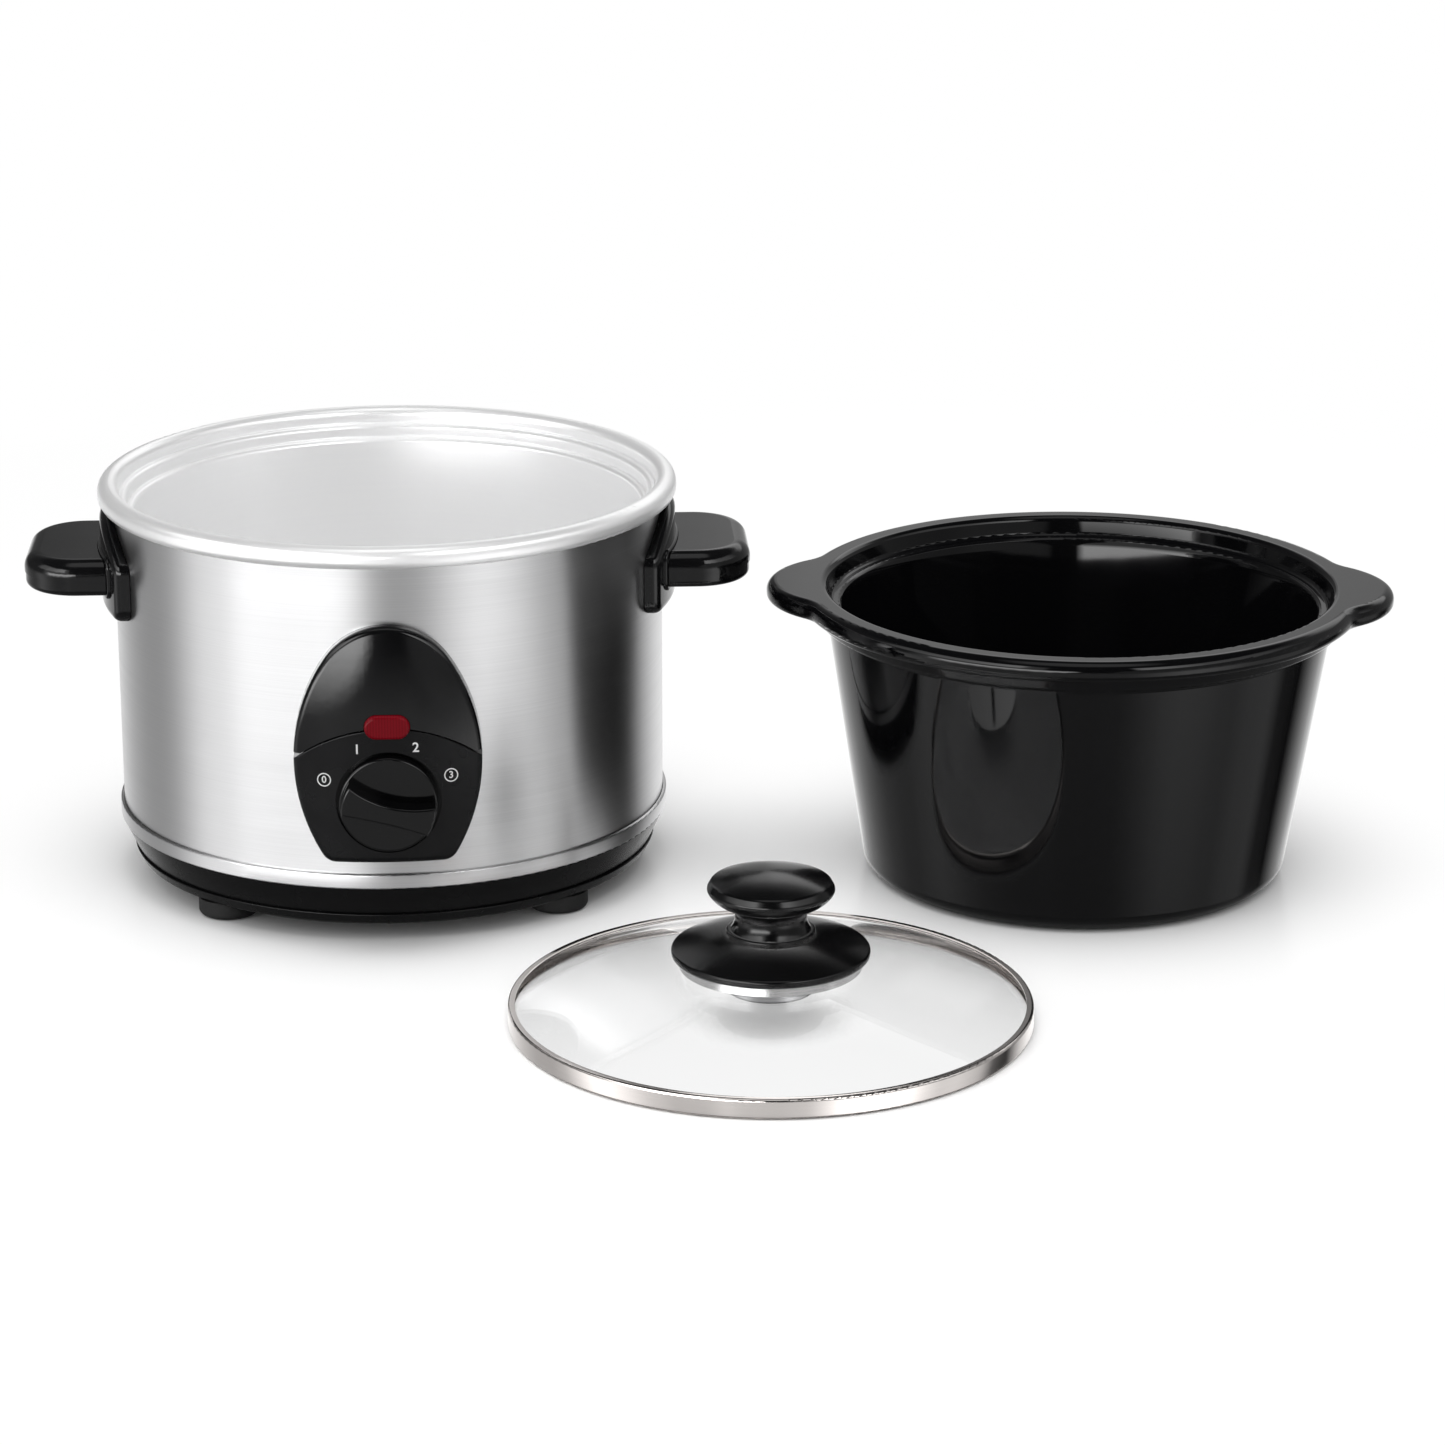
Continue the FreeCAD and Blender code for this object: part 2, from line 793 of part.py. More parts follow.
# Heating well: one spun sheet with a rolled rim, two steps and a tapering wall
def make_heating_well():
    wall = d.rim_wall
    curl_radius = rim_radius - d.rim_curl
    inner_step_round = d.step_round - wall
    top = [
        (ZERO, well_floor),
        (well_floor_radius, well_floor, d.well_floor_round),
        (throat_radius, ledge_height, d.step_round),
        (ledge_radius, ledge_height, inner_step_round),
        (ledge_radius, step_height, d.step_round),
        (step_radius, step_height, inner_step_round),
        (step_radius, d.rim_height, d.rim_inner_round),
        (rim_radius, d.rim_height, d.rim_outer_round),
        (rim_radius, rim_bottom, d.rim_curl_round),
        (curl_radius, rim_bottom),
    ]
    under = [
        (curl_radius, rim_bottom + wall),
        (rim_radius - wall, rim_bottom + wall, d.rim_curl_round - wall),
        (rim_radius - wall, d.rim_height - wall, d.rim_outer_round - wall),
        (step_radius + wall, d.rim_height - wall, d.rim_inner_round - wall),
        (step_radius + wall, step_height - wall, d.step_round),
        (ledge_radius + wall, step_height - wall, inner_step_round),
        (ledge_radius + wall, ledge_height - wall, d.step_round),
        (throat_radius + wall, ledge_height - wall, inner_step_round),
        (well_floor_radius + wall, well_under, d.well_floor_round + wall),
        (ZERO, well_under),
    ]
    stand(lathe("heating_well", top + under), BASE)


def make_heater_and_blanket():
    low = well_floor + d.heater_rise
    high = low + d.heater_width
    inner = [well_outside(low) + d.heater_gap, well_outside(high) + d.heater_gap]
    outer = [radius + d.heater_wall for radius in inner]
    heater = lathe(
        "heater_band",
        [(inner[0], low), (outer[0], low), (outer[1], high), (inner[1], high)],
        sweep=d.band_sweep,
    )
    stand(heater, BASE, rotation=TO_REAR_MIDDLE)
    back = shell_inner - d.heater_gap
    front = [radius + d.heater_gap for radius in outer]
    blanket = lathe(
        "insulation_band",
        [(front[0], low), (back, low), (back, high), (front[1], high)],
        sweep=d.band_sweep,
    )
    stand(blanket, BASE, rotation=TO_REAR_MIDDLE)


# What hangs on the tie bolt under the well
def make_underside():
    hole = d.tie_radius + d.hole_gap
    shield_radius = well_floor_radius - d.shield_inset
    top = shield_height + d.shield_wall
    drop = shield_height - d.shield_lip
    shield = lathe(
        "heat_shield",
        [
            (hole, shield_height),
            (shield_radius - d.shield_wall, shield_height),
            (shield_radius - d.shield_wall, drop),
            (shield_radius, drop),
            (shield_radius, top),
            (hole, top),
        ],
    )
    stand(shield, BASE)
    head_low = d.foot_height - d.tie_head_height
    bolt = lathe(
        "tie_bolt",
        [
            (ZERO, head_low),
            (d.tie_head_radius, head_low, d.tie_head_round),
            (d.tie_head_radius, d.foot_height),
            (d.tie_radius, d.foot_height),
            (d.tie_radius, well_under),
            (ZERO, well_under),
        ],
    )
    stand(bolt, BASE)
    nuts = []
    for low in (well_under - d.nut_height, shield_height - d.nut_height):
        spot = moved(BASE, ZERO, ZERO, low)
        prism = doc.addObject("Part::Prism", "HexNut")
        prism.Polygon = 6
        bind(prism, "Circumradius", d.nut_flat / cosine(HEX_HALF_ANGLE))
        bind(prism, "Height", d.nut_height)
        for name, value in zip("xyz", spot):
            bind(prism, f"Placement.Base.{name}", value)
        nut = doc.addObject("Part::Cut", "Nut")
        nut.Base = prism
        nut.Tool = cylinder(d.tie_radius + d.bore_gap, d.nut_height, spot, UPRIGHT)
        nuts.append(nut)
    group("tie_nuts", nuts)
    can_low = well_under - d.cutout_height
    flange_low = well_under - d.cutout_flange
    cutout = lathe(
        "thermal_cutout",
        [
            (ZERO, can_low),
            (d.cutout_can_radius, can_low),
            (d.cutout_can_radius, flange_low),
            (d.cutout_radius, flange_low),
            (d.cutout_radius, well_under),
            (ZERO, well_under),
        ],
    )
    stand(cutout, (BASE[0] + d.cutout_offset, BASE[1]))


def make_terminal_block():
    body = new_body("terminal_block")
    half_length = d.terminal_length / 2
    half_width = d.terminal_width / 2
    outline = new_sketch(body, "XY_Plane")
    rectangle(outline, -half_length, -half_width, half_length, half_width)
    pad(body, outline, d.terminal_height)
    wells = new_sketch(body, "XY_Plane", d.terminal_height)
    for step in (-1, 0, 1):
        circle(wells, d.terminal_pitch * step, ZERO, d.screw_head_radius)
    pocket(body, wells, d.terminal_well_depth, outward=False)
    stand(body, (BASE[0], BASE[1] + d.shell_radius - d.terminal_inset), pan_floor)


def make_cord_inlet_bush():
    inner_end = inlet_face - d.bush_length
    outer_end = inlet_face + d.bush_flange_wall
    corners = [
        (d.bush_bore_radius, inner_end),
        (d.bush_radius, inner_end),
        (d.bush_radius, inlet_face),
        (d.bush_flange_radius, inlet_face),
        (d.bush_flange_radius, outer_end, d.bush_round),
        (d.bush_bore_radius, outer_end, d.bush_round),
    ]
    stand(lathe("cord_inlet_bush", corners), BASE, inlet_height, TO_BACK)


def cut_handle_screw_holes(body, reach, outward=True):
    holes = new_sketch(body, "YZ_Plane")
    for side in (-1, 1):
        circle(holes, d.handle_screw_offset * side, grip_middle, d.screw_radius + d.hole_gap)
    pocket(body, holes, reach, outward)


# Handle plate: an arched pad that hugs the shell, with a low collar round the root of the grip
def make_handle_plate(label, rotation):
    body = new_body(label)
    width = d.plate_half_width
    low = plate_bottom - BEYOND
    high = plate_crown + BEYOND
    far = plate_radius + BEYOND
    corners = box_corners(-width, plate_bottom, width, plate_shoulder)
    outline = new_sketch(body, "YZ_Plane")
    draw(outline, corners, {2: (arc_radius(width, plate_crown - plate_shoulder), 1)})
    pad(body, outline, far)
    fillet(body, d.plate_corner, along("x", *corners))
    turn_away(body, plate_radius, far + BEYOND, low, high)
    fillet(body, d.plate_edge_round, on_barrel(plate_radius))
    half_collar = d.grip_half_width + d.collar_margin
    collar_low = grip_bottom - d.collar_margin
    collar_high = grip_top + d.collar_margin
    collar = new_sketch(body, "YZ_Plane")
    rounded_rectangle(collar, -half_collar, collar_low, half_collar, collar_high, d.collar_corner)
    pad(body, collar, far)
    turn_away(body, collar_radius, far + BEYOND, low, high)
    fillet(body, d.collar_round, on_barrel(collar_radius))
    turn_away(body, ZERO, shell_seat, low, high)
    cut_handle_screw_holes(body, far)
    stand(body, BASE, rotation=rotation)


# Grip: a rounded bar whose upper half stands a little proud of the lower at the parting line
def make_handle_grip(label, rotation):
    body = new_body(label)
    root_radius = collar_radius + d.seat_gap
    halves = (
        (grip_bottom, d.grip_parting, d.grip_parting_step),
        (grip_bottom + d.grip_parting, d.grip_thickness - d.grip_parting, ZERO),
    )
    for low, height, inset in halves:
        side = d.grip_half_width - inset
        end = grip_reach - inset
        outline = new_sketch(body, "XY_Plane", low)
        rectangle(outline, inside, -side, end, side)
        pad(body, outline, height)
        fillet(body, d.grip_corner - inset, along("z", (end, -side), (end, side)))
    turn_away(body, ZERO, root_radius, grip_bottom - BEYOND, grip_top + BEYOND)
    fillet(body, d.grip_edge_round, at_height(grip_top, root_radius))
    fillet(body, d.grip_bottom_round, at_height(grip_bottom, root_radius))
    cut_handle_screw_holes(body, handle_screw_reach + d.hole_gap)
    stand(body, BASE, rotation=rotation)


def make_handles():
    for side, rotation in (("left", TO_LEFT), ("right", UPRIGHT)):
        make_handle_plate(f"{side}_handle_plate", rotation)
        make_handle_grip(f"{side}_handle_grip", rotation)
    seat = screw_seat(d.handle_screw_offset)
    seats = []
    rotations = []
    for side in (-1, 1):
        for place in (-1, 1):
            seats.append(moved(BASE, seat * side, d.handle_screw_offset * place, grip_middle))
            rotations.append(Rotation(Vector(0, 1, 0), 90 * side))
    small_screws("handle_screws", seats, rotations, handle_screw_reach - seat)


def panel_screw_spots():
    heights = (panel_bottom + d.panel_screw_low, panel_bottom + d.panel_screw_high)
    return [(d.panel_screw_side * side, height) for side in (-1, 1) for height in heights]


# Control panel: an egg-shaped moulding that hugs the shell, split along an arched seam
def panel_blank(label, face_radius, lean=None):
    """The whole egg, its face turned about the shell's axis: straight up, or a barrel when lean is given."""
    body = new_body(label)
    width = d.panel_half_width
    upper = panel_top - panel_widest - d.panel_top_round
    top_round = d.panel_top_round
    side_round = (width * width + upper * upper - top_round * top_round) / ((width - top_round) * 2)
    reach = side_round - top_round
    join_x = top_round * (side_round - width) / reach
    join_z = panel_widest + upper + top_round * upper / reach
    bottom_x = width - chord_rise(d.panel_side_round, panel_widest - panel_bottom)
    corners = [
        (-bottom_x, panel_bottom),
        (bottom_x, panel_bottom),
        (width, panel_widest),
        (join_x, join_z),
        (-join_x, join_z),
        (-width, panel_widest),
    ]
    bends = {
        1: (d.panel_side_round, 1),
        2: (side_round, 1),
        3: (top_round, 1),
        4: (side_round, 1),
        5: (d.panel_side_round, 1),
    }
    outline = new_sketch(body, "XZ_Plane")
    draw(outline, corners, bends)
    pad(body, outline, face_radius + BEYOND)
    fillet(body, d.panel_corner, along("y", corners[0], corners[1]))
    low = panel_bottom - d.panel_corner
    high = panel_top + d.panel_corner
    far = as_size(face_radius + BEYOND * 2)
    if lean:
        foot = face_radius - chord_rise(lean, panel_widest - low)
        head = face_radius - chord_rise(lean, high - panel_widest)
        ring = new_sketch(body, "XZ_Plane")
        draw(ring, [(foot, low), (far, low), (far, high), (head, high)], {3: (lean, -1)})
        groove(body, ring)
    else:
        turn_away(body, face_radius, far, low, high)
    fillet(body, d.panel_edge_round, on_barrel(face_radius, lean, panel_widest))
    turn_away(body, ZERO, shell_seat, low, high)
    return body


def seam_foot(crown, half_width):
    return crown - chord_rise(d.seam_round, half_width)


def cut_below_seam(body, crown):
    """Trim the cover along the arch. Level ends open a notch at both sides of the panel."""
    wide = d.panel_half_width + d.panel_corner
    turn_out = d.panel_half_width - d.seam_notch
    foot = seam_foot(crown, turn_out)
    low = panel_bottom - d.panel_corner
    sketch = new_sketch(body, "XZ_Plane")
    draw(
        sketch,
        [(-wide, low), (wide, low), (wide, foot), (turn_out, foot), (-turn_out, foot), (-wide, foot)],
        {3: (d.seam_round, 1)},
    )
    pocket(body, sketch, panel_radius + BEYOND, outward=True)


def cut_above_seam(body, crown):
    """Trim the plate along the arch and soften its front edge there."""
    wide = d.panel_half_width + d.panel_corner
    foot = seam_foot(crown, wide)
    high = panel_top + d.panel_corner
    sketch = new_sketch(body, "XZ_Plane")
    draw(sketch, box_corners(-wide, foot, wide, high), {0: (d.seam_round, -1)})
    pocket(body, sketch, panel_radius + BEYOND, outward=True)
    centre_height = crown - d.seam_round

    def on_seam_face(edge):
        return all(
            abs(math.hypot(point.x, point.z - centre_height.number) - d.seam_round.number) < NEAR
            and abs(from_axis(point) - panel_radius.number) < NEAR
            for point in samples(edge)
        )
    fillet(body, d.seam_edge_round, on_seam_face)


def cut_indicator_seat(body):
    """The lens opens through the face; its flange sits in a wider slot from behind."""
    opening = new_sketch(body, "XZ_Plane", lens_seat - d.lens_flange_wall)
    gap = d.hole_gap * 2
    pill(opening, ZERO, lens_height, d.lens_length + gap, d.lens_width + gap)
    pocket(body, opening, as_size(BEYOND), outward=True)
    seat = new_sketch(body, "XZ_Plane", lens_seat)
    wide = d.lens_flange * 2 + gap
    pill(seat, ZERO, lens_height, d.lens_length + wide, d.lens_width + wide)
    pocket(body, seat, as_size(BEYOND), outward=False)


def cut_panel_screw_holes(body, height):
    holes = new_sketch(body, "XZ_Plane", panel_screw_reach + d.hole_gap)
    for side in (-1, 1):
        circle(holes, d.panel_screw_side * side, height, d.screw_radius + d.hole_gap)
    pocket(body, holes, as_size(BEYOND), outward=False)


def make_control_panel():
    lean = arc_radius(panel_top - panel_widest, d.cover_lean)
    cover = panel_blank("panel_cover", cover_radius, lean)
    cut_below_seam(cover, seam_crown + d.seam_gap / 2)
    cut_indicator_seat(cover)
    cut_panel_screw_holes(cover, panel_bottom + d.panel_screw_high)
    stand(cover, BASE)
    plate = panel_blank("control_plate", panel_radius)
    cut_above_seam(plate, seam_crown - d.seam_gap / 2)
    cut_indicator_seat(plate)
    cut_panel_screw_holes(plate, panel_bottom + d.panel_screw_low)
    recess = new_sketch(plate, "XZ_Plane", recess_floor)
    circle(recess, ZERO, knob_height, d.knob_radius + d.knob_recess_gap)
    pocket(plate, recess, as_size(BEYOND), outward=True)
    behind = new_sketch(plate, "XZ_Plane", switch_seat)
    circle(behind, ZERO, knob_height, d.switch_radius + d.window_gap)
    pocket(plate, behind, as_size(BEYOND), outward=False)
    passage = new_sketch(plate, "XZ_Plane", inside)
    circle(passage, ZERO, knob_height, d.shaft_radius + d.bore_gap)
    pocket(plate, passage, panel_radius, outward=True)
    stand(plate, BASE)
    seat = screw_seat(d.panel_screw_side)
    seats = [moved(BASE, x, -seat, z) for x, z in panel_screw_spots()]
    small_screws("panel_screws", seats, [TO_FRONT] * 4, panel_screw_reach - seat)


def make_indicator():
    lens = new_body("indicator_lens")
    back = lens_seat - d.lens_flange_wall
    flange = new_sketch(lens, "XY_Plane", back)
    pill(flange, ZERO, ZERO, d.lens_length + d.lens_flange * 2, d.lens_width + d.lens_flange * 2)
    pad(lens, flange, d.lens_flange_wall - d.seat_gap)
    face = cover_radius + d.lens_proud
    window = new_sketch(lens, "XY_Plane", back)
    pill(window, ZERO, ZERO, d.lens_length, d.lens_width)
    pad(lens, window, face - back)
    fillet(lens, d.lens_round, at_height(face))
    stand(lens, BASE, lens_height, TO_FRONT)
    front = back - d.seat_gap
    tail = front - d.lamp_length
    base_end = tail + d.lamp_base_length
    lamp = lathe(
        "indicator_lamp",
        [
            (ZERO, tail),
            (d.lamp_base_radius, tail),
            (d.lamp_base_radius, base_end),
            (d.lamp_radius, base_end),
            (d.lamp_radius, front, d.lamp_round),
            (ZERO, front),
        ],
    )
    stand(lamp, BASE, lens_height, TO_FRONT)


# Knob: a disc with a grip bar pinched from above, on the switch's shaft
def make_knob_and_switch():
    knob = new_body("control_knob")
    disc = new_sketch(knob, "XY_Plane", knob_back)
    circle(disc, ZERO, ZERO, d.knob_radius)
    pad(knob, disc, knob_face - knob_back)
    fillet(knob, d.knob_edge_round, at_height(knob_face))
    end_radius = d.knob_radius - d.knob_edge_round
    half = d.knob_bar_half_width
    reach = root(end_radius * end_radius - half * half)
    bar = new_sketch(knob, "XY_Plane", knob_face - d.knob_edge_round)
    bends = {
        0: (arc_radius(reach, d.knob_bar_lower_pinch), -1),
        1: (end_radius, 1),
        2: (arc_radius(reach, d.knob_bar_pinch), -1),
        3: (end_radius, 1),
    }
    draw(bar, box_corners(-reach, -half, reach, half), bends)
    bind(bar, "AttachmentOffset.Rotation.Angle", d.knob_rest_angle)
    pad(knob, bar, d.knob_bar_rise + d.knob_edge_round)
    fillet(knob, d.knob_edge_round, at_height(knob_face + d.knob_bar_rise))
    bore_end = knob_back + d.shaft_depth
    bore = new_sketch(knob, "XY_Plane", bore_end)
    circle(bore, ZERO, ZERO, d.shaft_radius + d.bore_gap)
    pocket(knob, bore, as_size(BEYOND), outward=False)
    stand(knob, BASE, knob_height, TO_FRONT)
    tail = switch_seat - d.switch_tail
    shaft_end = bore_end - d.seat_gap
    shaft = lathe("switch_shaft", box_corners(ZERO, tail, d.shaft_radius, shaft_end))
    stand(shaft, BASE, knob_height, TO_FRONT)
    hole = d.shaft_radius + d.bore_gap
    back = switch_seat - d.switch_depth
    shoulder = back + d.switch_back_depth
    switch = lathe(
        "rotary_switch",
        [
            (ZERO, back),
            (d.switch_back_radius, back),
            (d.switch_back_radius, shoulder),
            (d.switch_radius, shoulder),
            (d.switch_radius, switch_seat),
            (hole, switch_seat),
            (hole, tail - d.seat_gap),
            (ZERO, tail - d.seat_gap),
        ],
    )
    stand(switch, BASE, knob_height, TO_FRONT)


# Crock: a flange with two lugs, and the bowl turned under and inside it
def make_crock():
    body = new_body("crock")
    lug = d.lug_round
    meet_x = (lug_centre * lug_centre + flange_radius * flange_radius - lug * lug) / (lug_centre * 2)
    meet_y = root(flange_radius * flange_radius - meet_x * meet_x)
    corners = [(meet_x, -meet_y), (meet_x, meet_y), (-meet_x, meet_y), (-meet_x, -meet_y)]
    root_radius = flange_radius - d.crock_root_inset
    outline = new_sketch(body, "XY_Plane", d.flange_bottom)
    draw(outline, corners, {0: (lug, 1), 1: (flange_radius, 1), 2: (lug, 1), 3: (flange_radius, 1)})
    circle(outline, ZERO, ZERO, (crock_mouth + root_radius) / 2)
    pad(body, outline, d.flange_top - d.flange_bottom)
    fillet(body, d.lug_blend, along("z", *corners))
    fillet(body, d.flange_top_round, at_height(d.flange_top, root_radius))
    fillet(body, d.flange_bottom_round, at_height(d.flange_bottom, root_radius))
    wall_radius = throat_radius - d.crock_play
    bottom_radius = wall_radius - d.crock_taper
    foot_radius = bottom_radius - d.crock_foot_width
    ledge_top = d.flange_top - d.crock_ledge_drop
    ledge_inner = crock_ledge - d.crock_ledge_width
    inner_radius = ledge_inner - d.crock_ledge_fall
    glaze = d.glaze_round
    section = [
        (ZERO, d.crock_recess),
        (foot_radius - d.crock_recess, d.crock_recess),
        (foot_radius, ZERO),
        (bottom_radius, ZERO, d.crock_bottom_round),
        (wall_radius, d.flange_bottom - d.crock_neck_drop, glaze),
        (wall_radius + d.crock_lip_width, d.flange_bottom - d.crock_lip_drop, glaze),
        (root_radius, d.flange_bottom),
        (root_radius, d.flange_top),
        (crock_mouth, d.flange_top, d.mouth_round),
        (crock_ledge, ledge_top, glaze),
        (ledge_inner, ledge_top, glaze),
        (inner_radius, d.flange_top - d.crock_inner_drop),
        (inner_radius - d.crock_inner_taper, d.crock_floor, d.crock_floor_round),
        (ZERO, d.crock_floor),
    ]
    bowl = new_sketch(body, "XZ_Plane")
    draw(bowl, [corner[:2] for corner in section])
    revolve(body, bowl)
    for x, z, *rounds in section:
        for radius in rounds:
            fillet(body, radius, on_circle(x, z))
    stand(body, CROCK)
    bind(body, "Placement.Rotation.Angle", d.crock_yaw)


# Lid: a domed glass in a folded steel band, with its knob stack on one screw
def make_lid():
    wall = d.lid_rim_wall
    inner_round = d.lid_rim_round - wall
    top = d.lid_rim_height
    foot_radius = lid_radius - d.lid_rim_foot
    lap_radius = lid_radius - d.lid_rim_lap
    band = lathe(
        "lid_rim",
        [
            (foot_radius, ZERO),
            (lid_radius, ZERO, d.lid_rim_round),
            (lid_radius, top, d.lid_rim_round),
            (lap_radius, top),
            (lap_radius, top - wall),
            (lid_radius - wall, top - wall, inner_round),
            (lid_radius - wall, wall, inner_round),
            (foot_radius, wall),
        ],
    )
    stand(band, LID)

    edge_radius = lid_radius - wall - d.lid_rim_round
    dome = arc_radius(edge_radius, d.glass_rise)
    crown = top - wall - d.seat_gap + chord_rise(dome, lap_radius)
    edge_top = crown - d.glass_rise
    edge_bottom = edge_top - d.glass_wall
    hole = d.lid_screw_radius + d.hole_gap * 2
    hole_top = crown - chord_rise(dome, hole)
    glass = lathe(
        "lid_glass",
        [
            (hole, hole_top - d.glass_wall),
            (edge_radius, edge_bottom),
            (edge_radius, edge_top),
            (hole, hole_top),
        ],
        bends={0: (dome, -1), 2: (dome, 1)},
    )
    stand(glass, LID)

    bore = d.lid_screw_radius + d.hole_gap
    seal_low = crown - chord_rise(dome, bore) + d.seat_gap
    seal_edge = crown - chord_rise(dome, d.seal_radius) + d.seat_gap
    seal_top = seal_edge + d.seal_wall
    seal = lathe(
        "knob_seal",
        [(bore, seal_low), (d.seal_radius, seal_edge), (d.seal_radius, seal_top), (bore, seal_top)],
        bends={0: (dome, -1)},
    )
    stand(seal, LID)

    skirt_top = seal_top + d.skirt_rise
    skirt = lathe(
        "knob_skirt",
        [
            (bore, seal_top),
            (d.skirt_radius, seal_top, d.skirt_edge_round),
            (d.skirt_radius, seal_top + d.skirt_edge, d.skirt_edge_round),
            (d.knob_collar_radius, skirt_top),
            (bore, skirt_top),
        ],
        bends={2: (d.skirt_crown, 1)},
    )
    stand(skirt, LID)

    make_lid_knob(skirt_top)

    washer_top = crown - d.glass_wall - chord_rise(dome, d.lid_washer_radius) - d.seat_gap
    washer_low = washer_top - d.lid_washer_wall
    washer = lathe(
        "lid_washer",
        [
            (bore, washer_low),
            (d.lid_washer_radius, washer_low, d.lid_washer_round),
            (d.lid_washer_radius, washer_top),
            (bore, washer_top),
        ],
    )
    stand(washer, LID)
    screws(
        "lid_screw",
        [moved(LID, ZERO, ZERO, washer_low)],
        [UPRIGHT],
        d.lid_screw_head_height,
        skirt_top + d.lid_screw_reach - washer_low,
        d.lid_screw_radius,
        d.lid_screw_head_radius,
    )


def make_lid_knob(low):
    """A waisted neck between a collar and a bun-shaped cap."""
    neck_low = low + d.knob_collar_height
    neck_high = neck_low + d.neck_height
    cap_foot = neck_high + d.cap_foot_rise
    cap_widest = neck_high + d.lid_knob_under
    cap_top = cap_widest + d.lid_knob_edge
    top_radius = d.lid_knob_radius - d.cap_top_inset
    side_run = d.lid_knob_radius - d.cap_foot_radius
    side_rise = cap_widest - cap_foot
    half_side = root(side_run * side_run + side_rise * side_rise) / 2
    blind = d.lid_screw_radius + d.bore_gap
    blind_end = low + d.lid_screw_reach + d.seat_gap
    knob = lathe(
        "lid_knob",
        [
            (blind, low),
            (d.knob_collar_radius, low),
            (d.knob_collar_radius, neck_low, d.knob_collar_round),
            (d.neck_foot_radius, neck_low),
            (d.neck_radius, neck_high),
            (d.cap_foot_radius, cap_foot),
            (d.lid_knob_radius, cap_widest, d.lid_knob_round),
            (top_radius, cap_top, d.lid_knob_round),
            (ZERO, cap_top + d.lid_knob_crown),
            (ZERO, blind_end),
            (blind, blind_end),
        ],
        bends={
            3: (arc_radius(d.neck_height / 2, d.neck_waist), -1),
            5: (arc_radius(half_side, d.cap_side_bulge), 1),
            7: (arc_radius(top_radius, d.lid_knob_crown), 1),
        },
    )
    stand(knob, LID)


make_base_pan()
make_feet()
make_trim_ring()
make_outer_shell()
make_heating_well()
make_heater_and_blanket()
make_underside()
make_terminal_block()
make_cord_inlet_bush()
make_handles()
make_control_panel()
make_indicator()
make_knob_and_switch()
make_crock()
make_lid()
doc.recompute()

for item in doc.Objects:
    if "Invalid" in item.State or "Error" in item.State:
        raise RuntimeError(f"{item.Label} did not build: {item.State}")
for piece in pieces:
    if piece.Shape.isNull() or not piece.Shape.isValid():
        raise RuntimeError(f"{piece.Label} has no valid shape")

os.makedirs("parts", exist_ok=True)
for piece in pieces:
    piece.Shape.exportStep(f"parts/{piece.Label}.step")
    solids = len(piece.Shape.Solids)
    print(f"{piece.Label}: {solids} solid(s), {piece.Shape.Volume / 1000:.2f} cm3")
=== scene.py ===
import math

import bpy
import numpy
from mathutils import Matrix, Vector


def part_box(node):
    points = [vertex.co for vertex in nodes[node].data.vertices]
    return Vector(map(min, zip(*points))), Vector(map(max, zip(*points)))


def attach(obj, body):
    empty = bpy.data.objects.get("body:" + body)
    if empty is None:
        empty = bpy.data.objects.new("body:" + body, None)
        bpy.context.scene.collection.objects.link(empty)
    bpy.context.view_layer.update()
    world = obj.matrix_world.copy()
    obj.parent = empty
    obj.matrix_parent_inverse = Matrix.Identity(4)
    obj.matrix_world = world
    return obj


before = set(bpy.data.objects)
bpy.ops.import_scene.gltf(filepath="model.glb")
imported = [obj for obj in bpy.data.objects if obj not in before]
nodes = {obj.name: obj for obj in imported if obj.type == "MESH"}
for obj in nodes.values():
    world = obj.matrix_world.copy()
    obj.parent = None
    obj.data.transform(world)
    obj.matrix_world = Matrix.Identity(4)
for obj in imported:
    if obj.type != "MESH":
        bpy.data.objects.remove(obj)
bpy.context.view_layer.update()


def axis_of(node):
    """Where the upright axis of a round piece stands on the table."""
    low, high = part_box(node)
    return (low.x + high.x) / 2, (low.y + high.y) / 2


BASE = axis_of("outer_shell")
LID = axis_of("lid_rim")
FEET = ("front_left_foot", "front_right_foot", "rear_left_foot", "rear_right_foot")
HANDLES = ("left_handle_plate", "left_handle_grip", "right_handle_plate", "right_handle_grip")


# Node helpers


# The middle part of a noise texture's range, which holds most of its values
NOISE_RANGE = (0.3, 0.7)


def opaque(color):
    return (*color, 1.0)


def grey(level):
    return (level, level, level, 1.0)


WHITE = grey(1.0)


